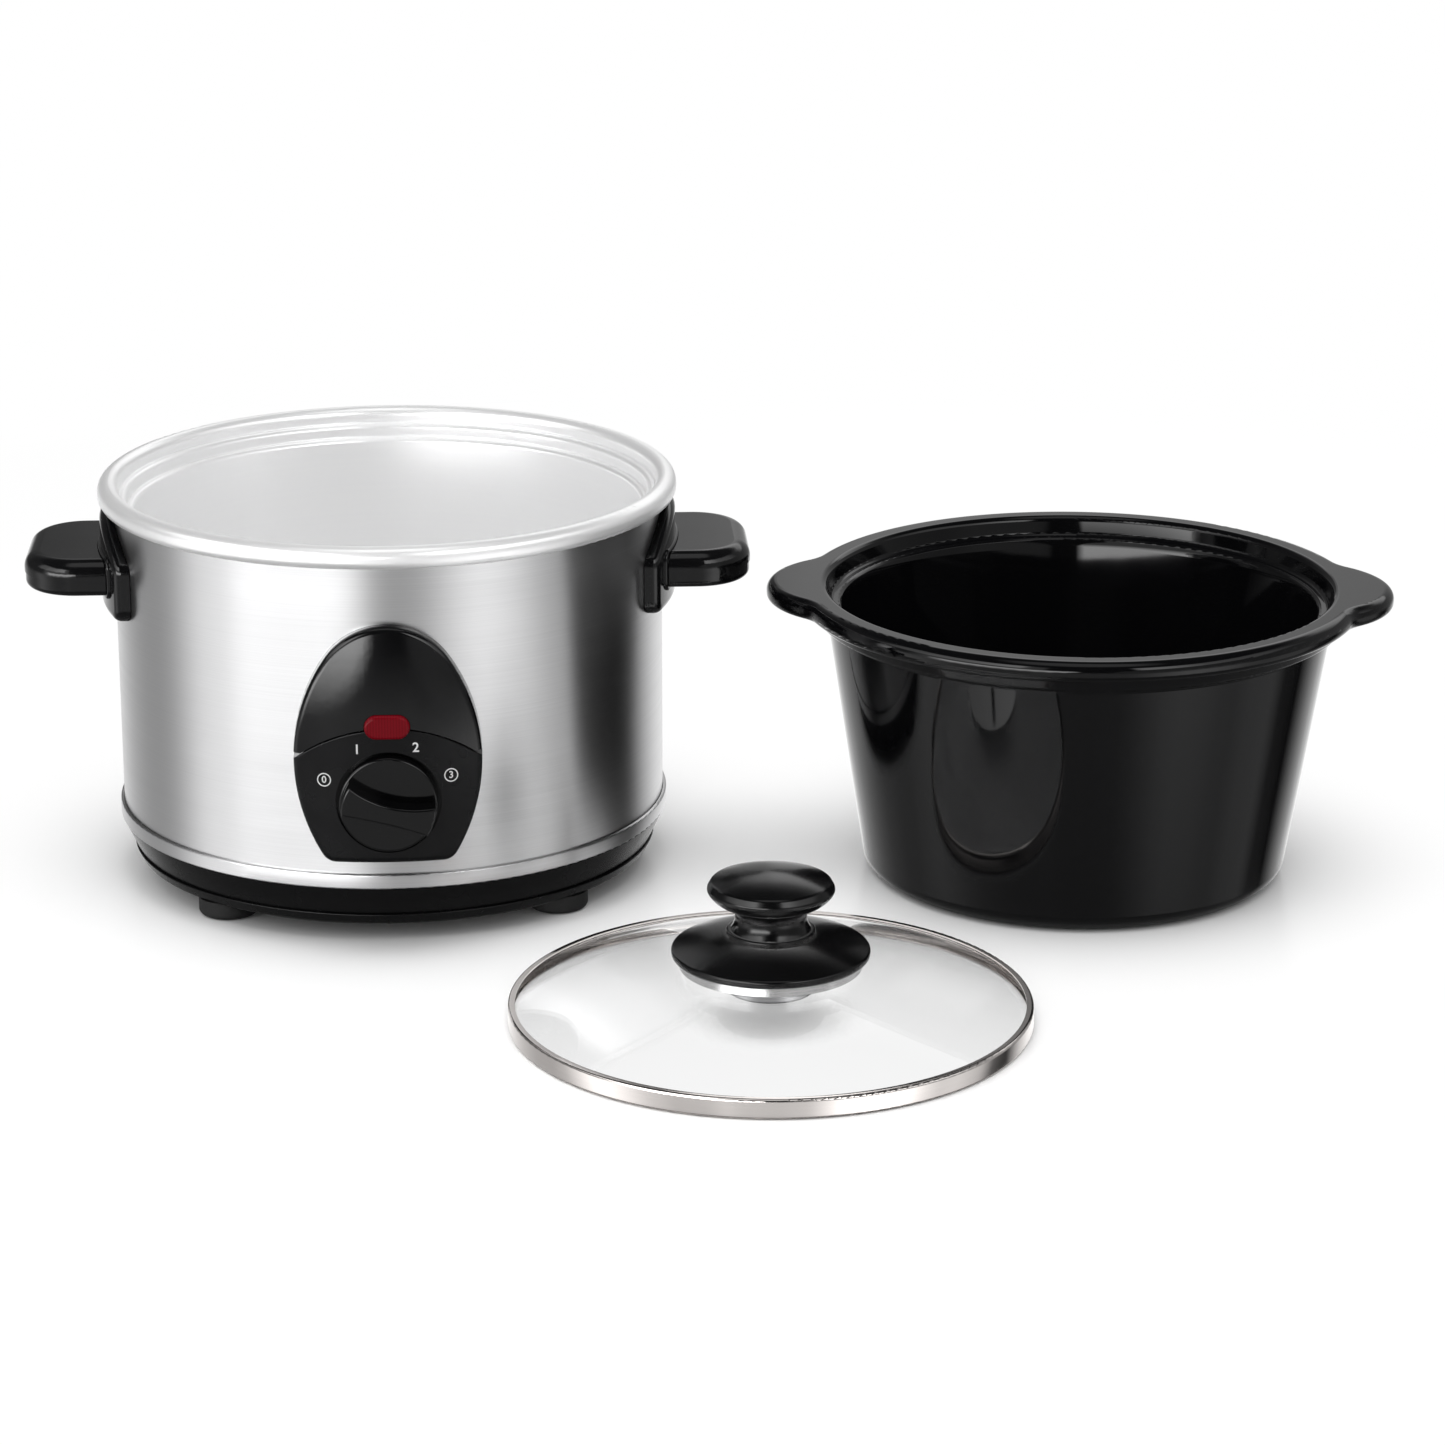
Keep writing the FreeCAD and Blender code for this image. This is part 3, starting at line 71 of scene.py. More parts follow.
class Tree:
    """Short calls for building a node tree."""

    def __init__(self, tree):
        self.tree = tree

    def node(self, kind, **settings):
        made = self.tree.nodes.new(kind)
        for key, value in settings.items():
            setattr(made, key, value)
        return made

    def link(self, output, socket):
        self.tree.links.new(output, socket)

    def feed(self, socket, value):
        """Link a socket to another node's output, or set it to a constant."""
        if isinstance(value, bpy.types.NodeSocket):
            self.link(value, socket)
        else:
            socket.default_value = value

    def math(self, operation, first, second=0.0):
        made = self.node("ShaderNodeMath", operation=operation)
        self.feed(made.inputs[0], first)
        self.feed(made.inputs[1], second)
        return made.outputs[0]

    def vector(self, operation, first, second):
        made = self.node("ShaderNodeVectorMath", operation=operation)
        self.link(first, made.inputs[0])
        self.feed(made.inputs["Scale" if operation == "SCALE" else 1], second)
        return made.outputs["Vector"]

    def length(self, vector):
        made = self.node("ShaderNodeVectorMath", operation="LENGTH")
        self.link(vector, made.inputs[0])
        return made.outputs["Value"]

    def parts(self, vector):
        made = self.node("ShaderNodeSeparateXYZ")
        self.link(vector, made.inputs[0])
        return made.outputs

    def spread(self, value, start, end, low=0.0, high=1.0):
        """Map start to end onto low to high, and hold the ends beyond."""
        made = self.node("ShaderNodeMapRange")
        limits = {"From Min": start, "From Max": end, "To Min": low, "To Max": high}
        for key, number in limits.items():
            made.inputs[key].default_value = number
        self.link(value, made.inputs["Value"])
        return made.outputs["Result"]

    def choose(self, share, first, second):
        """The first shader, giving way to the second as the share grows."""
        made = self.node("ShaderNodeMixShader")
        for socket, output in zip(made.inputs, (share, first, second)):
            self.link(output, socket)
        return made.outputs[0]

    def rays(self):
        """Whether a ray is seen, straight or through glass, and whether it is mirrored."""
        path = self.node("ShaderNodeLightPath")
        seen = self.math("MAXIMUM", path.outputs["Is Camera Ray"], path.outputs["Is Transmission Ray"])
        return seen, path.outputs["Is Glossy Ray"]


class Surface(Tree):
    """A material, with short calls for its textures."""

    def __init__(self, name):
        self.material = bpy.data.materials.new(name)
        self.material.use_nodes = True
        super().__init__(self.material.node_tree)
        self.shader = self.tree.nodes["Principled BSDF"]

    def set(self, **values):
        """Constants of the shader, by its sockets' names with underscores for spaces."""
        for key, value in values.items():
            socket = self.shader.inputs[key.replace("_", " ")]
            socket.default_value = opaque(value) if isinstance(value, tuple) else value

    def place(self):
        """Position on the piece, in metres."""
        return self.node("ShaderNodeTexCoord").outputs["Object"]

    def stretched(self, scale):
        mapping = self.node("ShaderNodeMapping")
        mapping.inputs["Scale"].default_value = scale
        self.link(self.place(), mapping.inputs["Vector"])
        return mapping.outputs["Vector"]

    def turned(self, axis, scale):
        """Distance from an upright axis and height, for marks that run round a turned piece."""
        away = self.vector("SUBTRACT", self.place(), (*axis, 0))
        joined = self.node("ShaderNodeCombineXYZ")
        self.link(self.length(self.vector("MULTIPLY", away, (1, 1, 0))), joined.inputs["X"])
        self.link(self.parts(away)["Z"], joined.inputs["Y"])
        return self.vector("SCALE", joined.outputs[0], scale)

    def noise(self, vector, scale=1.0, detail=3.0, rough=0.55):
        made = self.node("ShaderNodeTexNoise")
        made.inputs["Scale"].default_value = scale
        made.inputs["Detail"].default_value = detail
        made.inputs["Roughness"].default_value = rough
        self.link(vector, made.inputs["Vector"])
        return made.outputs["Fac"]

    def tint(self, value, shades, span=NOISE_RANGE):
        """Colour the piece from the dark shade to the light one, over a span of a texture's values."""
        ramp = self.node("ShaderNodeValToRGB")
        for element, position, shade in zip(ramp.color_ramp.elements, span, shades):
            element.position = position
            element.color = opaque(shade)
        self.link(value, ramp.inputs["Fac"])
        self.link(ramp.outputs["Color"], self.shader.inputs["Base Color"])

    def roughen(self, value, low, high):
        self.link(self.spread(value, *NOISE_RANGE, low, high), self.shader.inputs["Roughness"])

    def bump(self, value, depth, strength):
        made = self.node("ShaderNodeBump")
        made.inputs["Strength"].default_value = strength
        made.inputs["Distance"].default_value = depth
        self.link(value, made.inputs["Height"])
        self.link(made.outputs["Normal"], self.shader.inputs["Normal"])


def dress(surface, *names):
    for name in names:
        slots = nodes[name].data.materials
        slots.clear()
        slots.append(surface.material)


# Metals


def brushed_steel():
    """Rolled sheet brushed round the body: long fine scratches, level with the table."""
    made = Surface("brushed_steel")
    made.set(Metallic=1.0, Anisotropic=0.7, Anisotropic_Rotation=0.25)
    tangent = made.node("ShaderNodeTangent", direction_type="RADIAL", axis="Z")
    made.link(tangent.outputs["Tangent"], made.shader.inputs["Tangent"])
    scratches = made.noise(made.stretched((4, 4, 2600)), detail=4.0, rough=0.7)
    made.tint(scratches, ((0.535, 0.535, 0.54), (0.595, 0.595, 0.6)))
    bands = made.noise(made.stretched((3, 3, 420)), detail=4.0)
    made.roughen(bands, 0.28, 0.31)
    return made


def satin_sheet():
    """Spun aluminium, almost white: part mirror and part matt."""
    made = Surface("spun_aluminium")
    made.set(Metallic=0.55, Specular_IOR_Level=0.5)
    marks = made.noise(made.turned(BASE, 700))
    made.tint(marks, ((0.95, 0.95, 0.955), (0.965, 0.965, 0.965)))
    made.roughen(marks, 0.32, 0.36)
    return made


def turned_metal(name, axis, shades, rough, scale):
    """Sheet or bar with fine marks that run round its axis."""
    made = Surface(name)
    made.set(Metallic=1.0)
    marks = made.noise(made.turned(axis, scale))
    made.tint(marks, shades)
    made.roughen(marks, *rough)
    return made


def plated_metal(name, shades, rough):
    made = Surface(name)
    made.set(Metallic=1.0)
    clouds = made.noise(made.place(), scale=160.0, detail=4.0)
    made.tint(clouds, shades)
    made.roughen(clouds, *rough)
    return made


LID_BAND_SHADES = ((0.78, 0.735, 0.71), (0.80, 0.755, 0.73))
SEAL_SHADES = ((0.45, 0.45, 0.45), (0.52, 0.52, 0.52))
WASHER_SHADES = ((0.40, 0.40, 0.41), (0.50, 0.50, 0.51))
ZINC_SHADES = ((0.52, 0.52, 0.52), (0.68, 0.68, 0.66))
FOIL_SHADES = ((0.6, 0.6, 0.6), (0.8, 0.8, 0.8))
zinc = plated_metal("zinc_plate", ZINC_SHADES, rough=(0.25, 0.4))

dress(brushed_steel(), "outer_shell", "trim_ring")
dress(satin_sheet(), "heating_well")
dress(turned_metal("lid_band", LID, LID_BAND_SHADES, rough=(0.12, 0.14), scale=1600), "lid_rim")
dress(turned_metal("seal_steel", LID, SEAL_SHADES, rough=(0.16, 0.22), scale=1500), "knob_seal")
dress(turned_metal("washer_steel", LID, WASHER_SHADES, rough=(0.3, 0.4), scale=1500), "lid_washer")
dress(zinc, "foot_screws", "handle_screws", "panel_screws", "lid_screw", "tie_bolt", "tie_nuts")
dress(zinc, "heat_shield", "switch_shaft")
dress(plated_metal("heater_foil", FOIL_SHADES, rough=(0.3, 0.5)), "heater_band", "thermal_cutout")


# Mouldings, glaze, glass and matt pieces


def moulding(name, shades, rough, level, grain, depth):
    """Moulded plastic with its mould's fine grain and slight unevenness of gloss."""
    made = Surface(name)
    made.set(Specular_IOR_Level=level)
    patches = made.noise(made.place(), scale=45.0)
    made.tint(patches, shades)
    made.roughen(patches, *rough)
    pitted = made.noise(made.place(), scale=grain, detail=2.0)
    made.bump(pitted, depth, strength=0.4)
    return made


def glaze():
    """Poured black glaze: slow waves, a few faint specks, hard gloss."""
    made = Surface("black_glaze")
    made.set(Specular_IOR_Level=0.26)
    specks = made.noise(made.place(), scale=900.0, detail=1.0)
    made.tint(specks, ((0.0022, 0.0022, 0.0026), (0.004, 0.004, 0.0045)), span=(0.55, 0.8))
    waves = made.noise(made.place(), scale=28.0, detail=2.0)
    made.roughen(waves, 0.04, 0.07)
    made.bump(waves, 0.0004, strength=0.10)
    return made


def clear_glass():
    made = Surface("clear_glass")
    made.set(Base_Color=(0.965, 0.967, 0.967), Transmission_Weight=1.0, IOR=1.48)
    smears = made.noise(made.place(), scale=18.0)
    made.roughen(smears, 0.0, 0.02)
    return made


def red_lens():
    """Dark red moulding with upright ribs on its back that show through."""
    made = Surface("red_lens")
    made.set(Specular_IOR_Level=0.1)
    ribs = made.node("ShaderNodeTexWave", wave_type="BANDS", bands_direction="X")
    ribs.inputs["Scale"].default_value = 260.0
    ribs.inputs["Distortion"].default_value = 0.0
    made.link(made.place(), ribs.inputs["Vector"])
    made.tint(ribs.outputs["Fac"], ((0.14, 0.002, 0.006), (0.19, 0.003, 0.009)), span=(0.1, 0.9))
    clouds = made.noise(made.place(), scale=120.0)
    made.roughen(clouds, 0.14, 0.22)
    return made


def fibre():
    made = Surface("fibre_blanket")
    made.set(Specular_IOR_Level=0.1, Sheen_Weight=0.3, Roughness=0.95)
    strands = made.noise(made.stretched((900, 900, 160)), detail=5.0)
    made.tint(strands, ((0.55, 0.52, 0.44), (0.78, 0.76, 0.68)))
    made.bump(strands, 0.0008, strength=0.8)
    return made


def matt(name, shades, grain):
    made = Surface(name)
    made.set(Specular_IOR_Level=0.3)
    grains = made.noise(made.place(), scale=grain, detail=4.0)
    made.tint(grains, shades)
    made.roughen(grains, 0.6, 0.8)
    made.bump(grains, 0.00015, strength=0.4)
    return made


BLACK = ((0.003, 0.003, 0.0033), (0.0045, 0.0045, 0.005))
PAN_BLACK = ((0.003, 0.003, 0.0032), (0.0045, 0.0045, 0.0048))
DEEP_BLACK = ((0.002, 0.002, 0.0022), (0.003, 0.003, 0.0033))
RUBBER_BLACK = ((0.006, 0.006, 0.006), (0.012, 0.012, 0.012))
CERAMIC_SHADES = ((0.62, 0.6, 0.55), (0.78, 0.76, 0.7))
SWITCH_SHADES = ((0.4, 0.36, 0.3), (0.5, 0.46, 0.4))
BULB_SHADES = ((0.7, 0.45, 0.25), (0.85, 0.6, 0.4))
gloss_black = moulding("gloss_black", BLACK, rough=(0.08, 0.11), level=0.32, grain=260, depth=0.00003)
satin_black = moulding("satin_black", BLACK, rough=(0.22, 0.30), level=0.17, grain=1600, depth=0.00003)
pan_black = moulding("pan_black", PAN_BLACK, rough=(0.22, 0.30), level=0.14, grain=1200, depth=0.00001)
knob_black = moulding("knob_black", DEEP_BLACK, rough=(0.08, 0.11), level=0.3, grain=260, depth=0.00002)
lid_black = moulding("lid_black", DEEP_BLACK, rough=(0.15, 0.19), level=0.3, grain=260, depth=0.00002)

dress(gloss_black, "panel_cover", *HANDLES)
dress(satin_black, "control_plate")
dress(pan_black, "base_pan")
dress(knob_black, "control_knob")
dress(lid_black, "lid_knob", "knob_skirt")
dress(glaze(), "crock")
dress(clear_glass(), "lid_glass")
dress(red_lens(), "indicator_lens")
dress(fibre(), "insulation_band")
dress(matt("black_rubber", RUBBER_BLACK, grain=1400), "cord_inlet_bush", *FEET)
dress(matt("unglazed_ceramic", CERAMIC_SHADES, grain=700), "terminal_block")
dress(matt("switch_case", SWITCH_SHADES, grain=600), "rotary_switch")
dress(matt("lamp_bulb", BULB_SHADES, grain=400), "indicator_lamp")

# In the photograph the glass casts no shadow, and the shell does not mirror the lid's knob
nodes["lid_glass"].visible_shadow = False
nodes["lid_knob"].visible_glossy = False
nodes["knob_skirt"].visible_glossy = False


# Dial marks on the control plate


# Metres: the plate's round face lies this far from the base's axis, with the ink just in front of it
PLATE_FACE = 0.130
INK_RISE = 0.00008
INK_DEPTH = 0.00002
KNOB_AXIS_HEIGHT = sum(corner.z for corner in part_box("control_knob")) / 2
DIGIT_HEIGHT = 0.0042
RINGED_DIGIT_HEIGHT = 0.0030
RING_RADIUS = 0.0030
RING_WIDTH = 0.0005
# Type size and thickening of the strokes, for a digit of height 1
TYPE_SIZE = 1.4
TYPE_WEIGHT = 0.02
# Each digit, its angle in degrees and its distance from the knob's axis, and whether it has a ring
MARKS = (
    ("0", 160.0, 0.0285, True),
    ("1", 118.6, 0.0266, False),
    ("2", 63.7, 0.0266, False),
    ("3", 22.6, 0.0285, True),
)


def white_ink():
    made = Surface("white_ink")
    made.set(Specular_IOR_Level=0.3, Roughness=0.6)
    wear = made.noise(made.place(), scale=1500.0, detail=4.0)
    made.tint(wear, ((0.70, 0.70, 0.70), (0.88, 0.88, 0.88)))
    return made


ink = white_ink()


def on_plate(x, z):
    """Where a mark lies on the curved plate, facing outwards."""
    turn = math.asin(x / PLATE_FACE)
    reach = PLATE_FACE + INK_RISE
    spot = Vector((BASE[0] + reach * math.sin(turn), BASE[1] - reach * math.cos(turn), z))
    upright = Matrix.Rotation(math.pi / 2, 4, "X")
    return Matrix.Translation(spot) @ Matrix.Rotation(turn, 4, "Z") @ upright


def print_mark(name, curve, x, z):
    curve.materials.append(ink.material)
    mark = bpy.data.objects.new(name, curve)
    mark.matrix_world = on_plate(x, z)
    bpy.context.scene.collection.objects.link(mark)
    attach(mark, "base")


def digit_curve(name, digit, height):
    curve = bpy.data.curves.new(name, "FONT")
    curve.body = digit
    curve.align_x = "CENTER"
    curve.align_y = "CENTER"
    curve.size = height * TYPE_SIZE
    curve.offset = height * TYPE_WEIGHT
    curve.extrude = INK_DEPTH
    return curve


def ring_curve(name):
    curve = bpy.data.curves.new(name, "CURVE")
    curve.dimensions = "2D"
    curve.fill_mode = "BOTH"
    curve.resolution_u = 16
    for reach in (RING_RADIUS, RING_RADIUS - RING_WIDTH):
        spline = curve.splines.new("BEZIER")
        spline.bezier_points.add(3)
        spline.use_cyclic_u = True
        for step, point in enumerate(spline.bezier_points):
            angle = step * math.pi / 2
            point.co = (reach * math.cos(angle), reach * math.sin(angle), 0)
            point.handle_left_type = "AUTO"
            point.handle_right_type = "AUTO"
    return curve


for digit, angle, reach, ringed in MARKS:
    x = reach * math.cos(math.radians(angle))
    z = KNOB_AXIS_HEIGHT + reach * math.sin(math.radians(angle))
    height = RINGED_DIGIT_HEIGHT if ringed else DIGIT_HEIGHT
    print_mark(f"digit_{digit}", digit_curve(f"digit_{digit}", digit, height), x, z)
    if ringed:
        print_mark(f"ring_{digit}", ring_curve(f"ring_{digit}"), x, z)


# Smooth shading


# Faces that meet at more than this angle keep a crease
CREASE = math.radians(32)
# Slopes of a half section that differ by less than this angle are shaded as one curve
BEND = math.radians(50)
# A face is turned when this much of its normal lies in the half section
TURNED_SHARE = 0.99
# Points of a half section are told apart to 0.01 mm
GRID_PER_METRE = 1e5
# The crock is round up to here, short of its lugs, and its walls keep their slope beside narrow rounds
CROCK_TURNED_REACH = 0.1172
CROCK_FAVOUR = 2.0
TURNED = {
    BASE: ("base_pan", "trim_ring", "outer_shell", "heating_well"),
    LID: ("lid_rim", "lid_glass", "knob_seal", "knob_skirt", "lid_knob", "lid_washer"),
}
MOULDED = ("panel_cover", "control_plate", "control_knob", "indicator_lens", *HANDLES)


def read(items, key, width, kind=float):
    """One property of all of a mesh's vertices, faces or corners, as an array."""
    values = numpy.empty(len(items) * width, dtype=kind)
    items.foreach_get(key, values)
    return values.reshape(-1, width) if width > 1 else values


def outward_from(axis, spots):
    """Level directions away from an upright axis, and the distances from it."""
    away = spots[:, :2] - numpy.array(axis)
    reach = numpy.hypot(away[:, 0], away[:, 1])
    return away / numpy.maximum(reach, 1e-9)[:, None], reach


def section_normals(kinds, weight):
    """For each pair of a ring and a slope in degrees, the mean of the slopes near it at that ring."""
    angle = numpy.radians(kinds[:, 1])
    sections = numpy.column_stack((numpy.cos(angle), numpy.sin(angle)))
    mean = numpy.empty_like(sections)
    starts = numpy.flatnonzero(numpy.diff(kinds[:, 0], prepend=-1))
    for first, last in zip(starts, [*starts[1:], len(kinds)]):
        here = sections[first:last]
        close = (here @ here.T > math.cos(BEND)) * weight[first:last]
        mean[first:last] = close @ here
    return mean / numpy.linalg.norm(mean, axis=1)[:, None]


def turned_normals(name, axis, limit=1.0, favour=1.0):
    """Shade a piece, as far as it is turned, by its half section, so that rings of facets look round.

    Faces further from the axis than the limit are left alone. A favour above 1 lets broad faces keep their
    own slope where a narrow round meets them.
    """
    mesh = nodes[name].data
    shading = read(mesh.corner_normals, "vector", 3)
    spots = read(mesh.vertices, "co", 3)
    facing = read(mesh.polygons, "normal", 3)
    area = read(mesh.polygons, "area", 1)
    corner = read(mesh.loops, "vertex_index", 1, numpy.int32)
    sides = read(mesh.polygons, "loop_total", 1, numpy.int32)
    face = numpy.repeat(numpy.arange(len(area)), sides)
    face_out, face_reach = outward_from(axis, read(mesh.polygons, "center", 3))
    spot_out, reach = outward_from(axis, spots)
    across = (facing[:, :2] * face_out).sum(axis=1)
    slope = numpy.degrees(numpy.arctan2(facing[:, 2], across))
    turned = (numpy.hypot(across, facing[:, 2]) > TURNED_SHARE) & (face_reach < limit)
    chosen = numpy.flatnonzero(turned[face])
    section = numpy.round(numpy.column_stack((reach, spots[:, 2])) * GRID_PER_METRE)
    ring = numpy.unique(section.astype(numpy.int64), axis=0, return_inverse=True)[1].reshape(-1)
    degrees = numpy.round(slope[face[chosen]]).astype(numpy.int64)
    pairs = numpy.column_stack((ring[corner[chosen]], degrees))
    kinds, kind = numpy.unique(pairs, axis=0, return_inverse=True)
    kind = kind.reshape(-1)
    weight = numpy.bincount(kind, weights=area[face[chosen]] ** favour)
    mean = section_normals(kinds, weight)
    shading[chosen, :2] = spot_out[corner[chosen]] * mean[kind, :1]
    shading[chosen, 2] = mean[kind, 1]
    mesh.normals_split_custom_set(shading)


for item in nodes.values():
    item.data.shade_smooth()
    item.data.set_sharp_from_angle(angle=CREASE)
for axis, names in TURNED.items():
    for name in names:
        turned_normals(name, axis)
for name in FEET:
    turned_normals(name, axis_of(name))
turned_normals("crock", axis_of("crock"), CROCK_TURNED_REACH, CROCK_FAVOUR)
for name in MOULDED:
    nodes[name].modifiers.new("even_shading", "WEIGHTED_NORMAL").keep_sharp = True


# What glossy pieces mirror: a studio of pale and dark screens, fixed to the room


# Brightness round the studio, by degrees to the right of the front: low down, and at eye level
LOW_RING = (
    (-180, 1.3), (-166, 1.07), (-140, 0.64), (-126, 0.48), (-112, 0.47), (-103, 0.60), (-95, 0.98),
    (-86, 1.48), (-78, 1.5), (-68, 1.18), (-58, 0.82), (-45, 0.62), (-31, 0.64), (-22, 0.82), (-16, 0.70),
    (0, 0.66), (13, 0.74), (20, 1.1), (28, 1.65), (36, 2.15), (44, 2.2), (52, 1.85), (58, 1.55), (66, 1.08),
    (74, 0.82), (84, 0.85), (99, 0.6), (108, 0.1), (121, 0.02), (135, 0.7), (148, 1.1), (180, 1.3),
)
HIGH_RING = (
    (-180, 0.5), (-178, 0.4), (-174, 0.14), (-130, 0.1), (-80, 0.3), (-70, 1.5), (-61, 10.0), (-34, 10.0),
    (-20, 0.06), (18, 0.04), (27, 0.4), (42, 0.5), (58, 0.35), (145, 0.35), (160, 0.4), (174, 0.7),
    (175.6, 0.72), (177, 0.42), (180, 0.5),
)
# Softboxes above eye level, added to the rings: one on each side of the camera and one behind
BOX_RING = (
    (-180, 0.7), (-168, 0.1), (-150, 0.0), (-104, 0.0), (-92, 1.5), (-60, 2.0), (-40, 4.0), (-32, 4.5),
    (-28, 0.0), (16, 0.0), (20, 4.5), (30, 4.0), (50, 1.5), (80, 1.0), (104, 0.0), (120, 0.0), (140, 1.3),
    (165, 1.1), (180, 0.7),
)
# Heights, in degrees above the level, over which one tier gives way to the next
FLOOR_EDGE = (-26, -40)
LOW_TO_HIGH = (-9, 3)
DIMMING = (7, 13)
BOX_FOOT = (20, 24)
BOX_TOP = (46, 42)
HIGH_TO_WALL = (38, 46)
CEILING_EDGE = (72, 80)
# On the right, over this stretch of the ring, the low tier comes to end lower by so many degrees
RIGHT_STRETCH = (8, 24)
RIGHT_DROP = 7.0
# Towards the back the boxes end lower, and towards the front the ceiling does, by so many degrees
BACK_STRETCH = (0.0, -0.3)
BACK_DROP = 8.0
FRONT_STRETCH = (0.0, 0.3)
FRONT_DROP = 10.0
# The dark gap between the front screens, within this angle of the front, is narrower at eye level
GAP_ANGLE = 40
GAP_SQUEEZE = 3.4
GAP_NARROWING = (-9, 5)
GAP_WIDENING = (9, 18)
# Brightness: the most that the ring at eye level gives, low and high, and the other parts of the room
SCREEN_LIMIT = 10.0
DIMMED_LIMIT = 1.2
WALL = grey(0.05)
UNDER_FLOOR = grey(0.2)
SOFT_LIGHT = 0.5


class Sky(Tree):
    """The world's node tree, with short calls for its parts."""

    def __init__(self):
        world = bpy.data.worlds.new("studio")
        world.use_nodes = True
        bpy.context.scene.world = world
        super().__init__(world.node_tree)
        self.tree.nodes.clear()

    def ring(self, degrees, stops):
        ramp = self.node("ShaderNodeValToRGB")
        elements = ramp.color_ramp.elements
        while len(elements) < len(stops):
            elements.new(0.5)
        for element, (degree, level) in zip(elements, stops):
            element.position = (degree + 180) / 360
            element.color = grey(level)
        self.link(self.spread(degrees, -180, 180), ramp.inputs["Fac"])
        return ramp.outputs["Color"]

    def mix(self, share, first, second):
        made = self.node("ShaderNodeMix", data_type="RGBA")
        for key, value in (("Factor", share), ("A", first), ("B", second)):
            self.feed(made.inputs[key], value)
        return made.outputs["Result"]

    def background(self, color, strength=1.0):
        made = self.node("ShaderNodeBackground")
        self.feed(made.inputs["Color"], color)
        self.feed(made.inputs["Strength"], strength)
        return made.outputs[0]


def eye_level(sky, around, height):
    """The ring at eye level, dimmer towards its top."""
    narrowing = sky.spread(height, *GAP_NARROWING, 1.0, GAP_SQUEEZE)
    widening = sky.spread(height, *GAP_WIDENING, GAP_SQUEEZE, 1.0)
    squeezed = sky.math("MULTIPLY", around, sky.math("MINIMUM", narrowing, widening))
    squeezed = sky.math("MAXIMUM", sky.math("MINIMUM", squeezed, GAP_ANGLE), -GAP_ANGLE)
    far = sky.math("GREATER_THAN", sky.math("ABSOLUTE", around), GAP_ANGLE)
    kept = sky.math("MULTIPLY", around, far)
    near = sky.math("MULTIPLY", squeezed, sky.math("SUBTRACT", 1.0, far))
    ring = sky.ring(sky.math("ADD", kept, near), HIGH_RING)
    return sky.vector("MINIMUM", ring, sky.spread(height, *DIMMING, SCREEN_LIMIT, DIMMED_LIMIT))


def high_boxes(sky, front, around, height):
    lowered = sky.math("ADD", height, sky.spread(front, *BACK_STRETCH, 0.0, BACK_DROP))
    tier = sky.math("MULTIPLY", sky.spread(height, *BOX_FOOT), sky.spread(lowered, *BOX_TOP))
    return sky.vector("SCALE", sky.ring(around, BOX_RING), tier)


def mirrored_room(sky, front, around, height):
    """The tiers of the room, from its rings up to the ceiling and then down under the floor's edge."""
    low = sky.ring(around, LOW_RING)
    lowered = sky.math("ADD", height, sky.spread(around, *RIGHT_STRETCH, 0.0, RIGHT_DROP))
    room = sky.mix(sky.spread(lowered, *LOW_TO_HIGH), low, eye_level(sky, around, height))
    room = sky.mix(sky.spread(height, *HIGH_TO_WALL), room, WALL)
    room = sky.vector("ADD", room, high_boxes(sky, front, around, height))
    overhead = sky.math("ADD", height, sky.spread(front, *FRONT_STRETCH, 0.0, FRONT_DROP))
    room = sky.mix(sky.spread(overhead, *CEILING_EDGE), room, WHITE)
    return sky.mix(sky.spread(height, *FLOOR_EDGE), room, UNDER_FLOOR)


def studio_world():
    """White to the eye, soft light to matt faces, and the room of screens to glossy ones."""
    sky = Sky()
    direction = sky.parts(sky.node("ShaderNodeTexCoord").outputs["Generated"])
    front = sky.math("MULTIPLY", direction["Y"], -1.0)
    around = sky.math("DEGREES", sky.math("ARCTAN2", direction["X"], front))
    height = sky.math("DEGREES", sky.math("ARCSINE", direction["Z"]))
    room = sky.background(mirrored_room(sky, front, around, height))
    seen, mirrored = sky.rays()
    lit = sky.choose(mirrored, sky.background(WHITE, SOFT_LIGHT), room)
    surface = sky.choose(seen, lit, sky.background(WHITE))
    sky.link(surface, sky.node("ShaderNodeOutputWorld").inputs["Surface"])


# Floor, lamps and camera


# Metres
FLOOR_REACH = 12.0
FLOOR_GAP = 0.0002
CONTACT_REACH = 0.10
SHADOW_FADE = (0.42, 0.95)
# How open the sky over the floor is, from 0 under a piece to 1: where it turns white, and how far
WHITE_OPENNESS = (0.5, 1.0)
OPEN_WHITE = 0.88
HIDDEN_OPENNESS = (0.25, 0.6)
FLOOR_GLOW = 0.30
# The camera that fits the photograph: metres from the base's axis, degrees, millimetres of lens
CAMERA_OFFSET = (0.04069, -1.94243)
CAMERA_HEIGHT = 0.6831
CAMERA_TILT = 72.223
CAMERA_TURN = -3.133
CAMERA_LENS = 113.65
CAMERA_SENSOR = 36.0


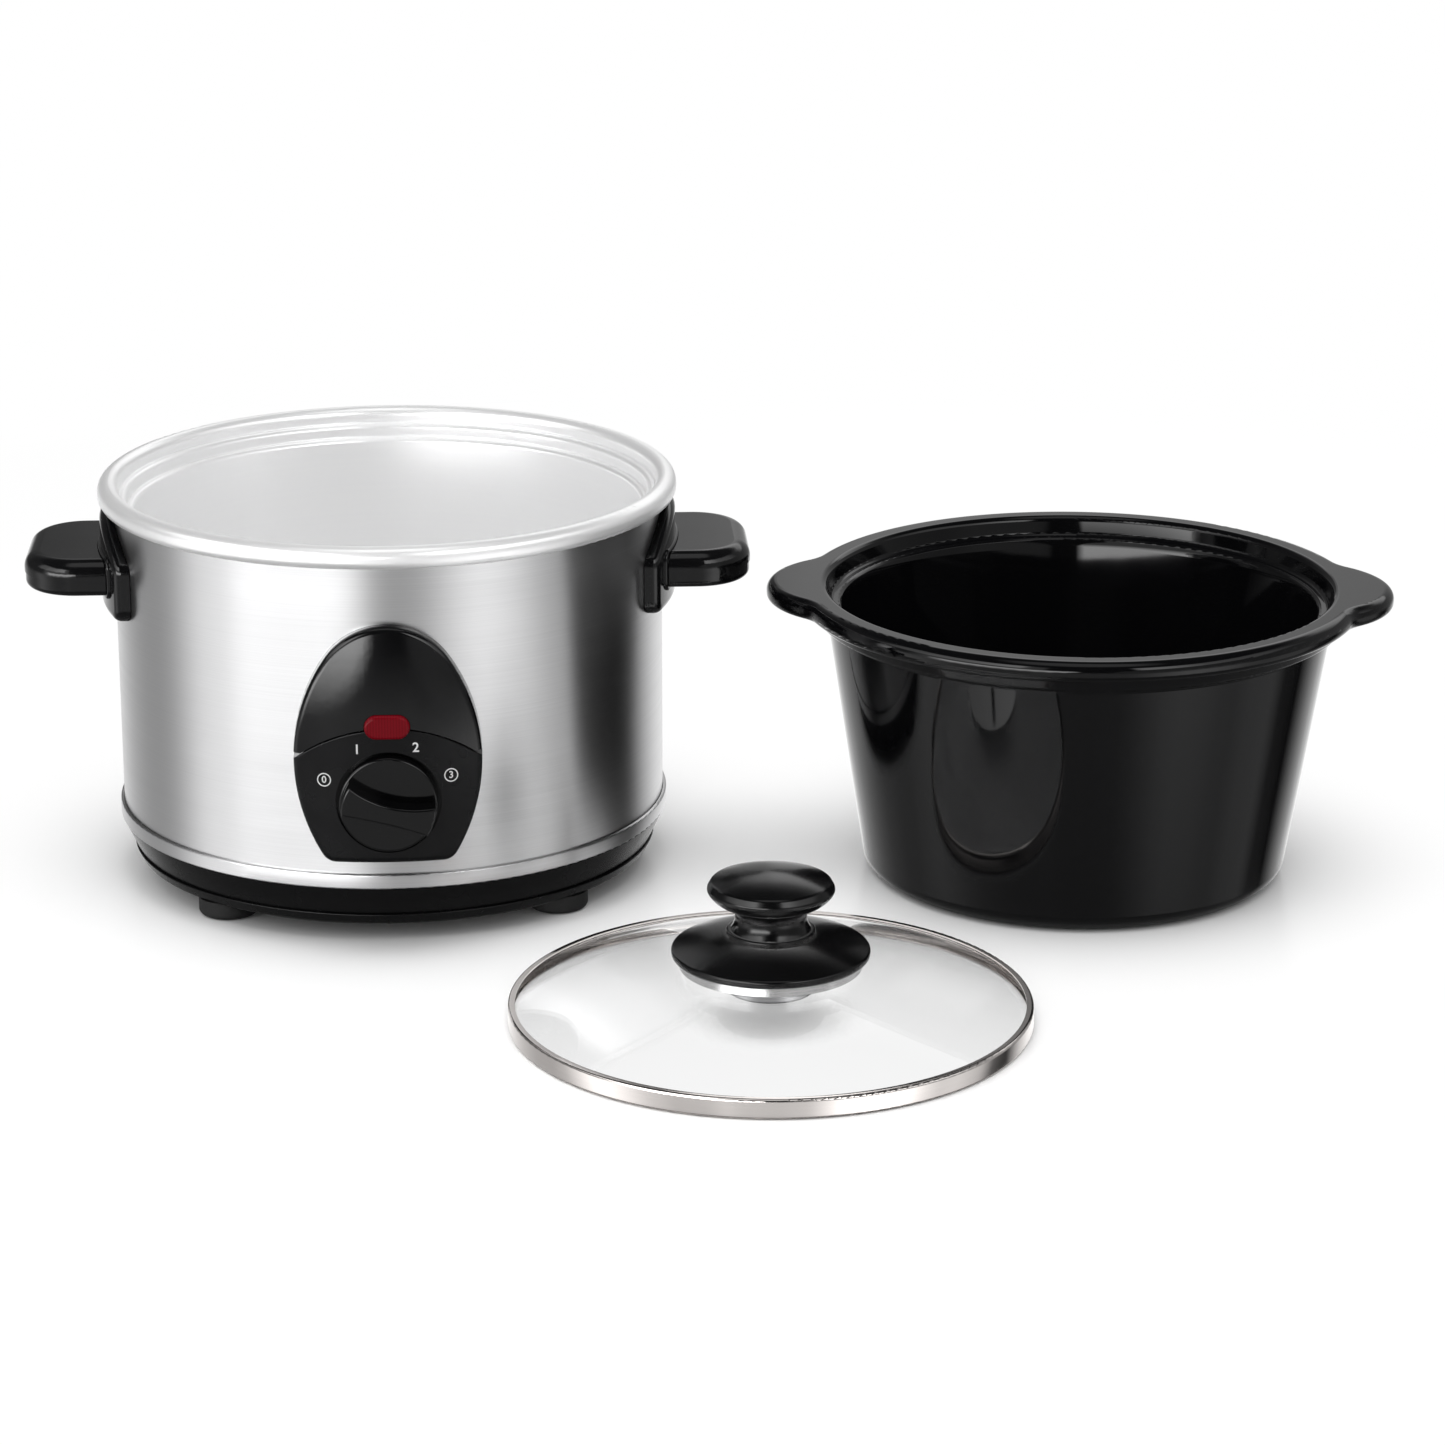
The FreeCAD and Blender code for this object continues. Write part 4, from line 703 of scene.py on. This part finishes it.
def floor_white():
    """White to the eye apart from shadows near the pieces, and in the open left out of mirror images."""
    made = Surface("floor_white")
    made.set(Base_Color=(0.86, 0.86, 0.86), Roughness=0.25, Specular_IOR_Level=0.3)
    made.set(Emission_Color=(1.0, 1.0, 1.0))
    seen, mirrored = made.rays()
    occlusion = made.node("ShaderNodeAmbientOcclusion", samples=16)
    occlusion.inputs["Distance"].default_value = CONTACT_REACH
    openness = occlusion.outputs["AO"]
    glow = made.math("MULTIPLY", made.math("MULTIPLY", seen, openness), FLOOR_GLOW)
    made.link(glow, made.shader.inputs["Emission Strength"])
    away = made.spread(made.length(made.place()), *SHADOW_FADE)
    clear = made.spread(openness, *WHITE_OPENNESS, 0.0, OPEN_WHITE)
    white_share = made.math("MULTIPLY", made.math("MAXIMUM", away, clear), seen)
    white = made.node("ShaderNodeEmission")
    white.inputs["Color"].default_value = WHITE
    shown = made.choose(white_share, made.shader.outputs[0], white.outputs[0])
    hidden_share = made.math("MULTIPLY", mirrored, made.spread(openness, *HIDDEN_OPENNESS))
    hidden = made.node("ShaderNodeBsdfTransparent")
    surface = made.choose(hidden_share, shown, hidden.outputs[0])
    made.link(surface, made.tree.nodes["Material Output"].inputs["Surface"])
    return made


def studio_floor():
    mesh = bpy.data.meshes.new("floor")
    corners = [(x * FLOOR_REACH, y * FLOOR_REACH, 0) for x, y in ((-1, -1), (1, -1), (1, 1), (-1, 1))]
    mesh.from_pydata(corners, [], [(0, 1, 2, 3)])
    mesh.materials.append(floor_white().material)
    floor = bpy.data.objects.new("floor", mesh)
    floor.location.z = -FLOOR_GAP
    bpy.context.scene.collection.objects.link(floor)


def softbox(name, location, target, width, height, power):
    light = bpy.data.lights.new(name, "AREA")
    light.shape = "RECTANGLE"
    light.size = width
    light.size_y = height
    light.energy = power
    lamp = bpy.data.objects.new(name, light)
    lamp.location = location
    lamp.rotation_euler = (Vector(target) - Vector(location)).to_track_quat("-Z", "Y").to_euler()
    lamp.visible_camera = False
    lamp.visible_glossy = False
    bpy.context.scene.collection.objects.link(lamp)


def photo_camera():
    data = bpy.data.cameras.new("camera")
    data.lens = CAMERA_LENS
    data.sensor_width = CAMERA_SENSOR
    data.sensor_fit = "HORIZONTAL"
    camera = bpy.data.objects.new("camera", data)
    camera.location = (BASE[0] + CAMERA_OFFSET[0], BASE[1] + CAMERA_OFFSET[1], CAMERA_HEIGHT)
    camera.rotation_euler = (math.radians(CAMERA_TILT), 0, math.radians(CAMERA_TURN))
    bpy.context.scene.collection.objects.link(camera)
    bpy.context.scene.camera = camera


studio_world()
studio_floor()
softbox("overhead", location=(-0.1, -0.2, 1.7), target=(0, 0, 0), width=1.6, height=1.4, power=19.0)
softbox("left_side", location=(-1.5, -0.9, 0.7), target=(0, 0, 0.1), width=0.6, height=1.2, power=6.0)
softbox("right_side", location=(1.7, -0.5, 0.8), target=(0, 0, 0.1), width=0.5, height=1.2, power=3.0)
photo_camera()
bpy.context.scene.view_settings.view_transform = "Standard"
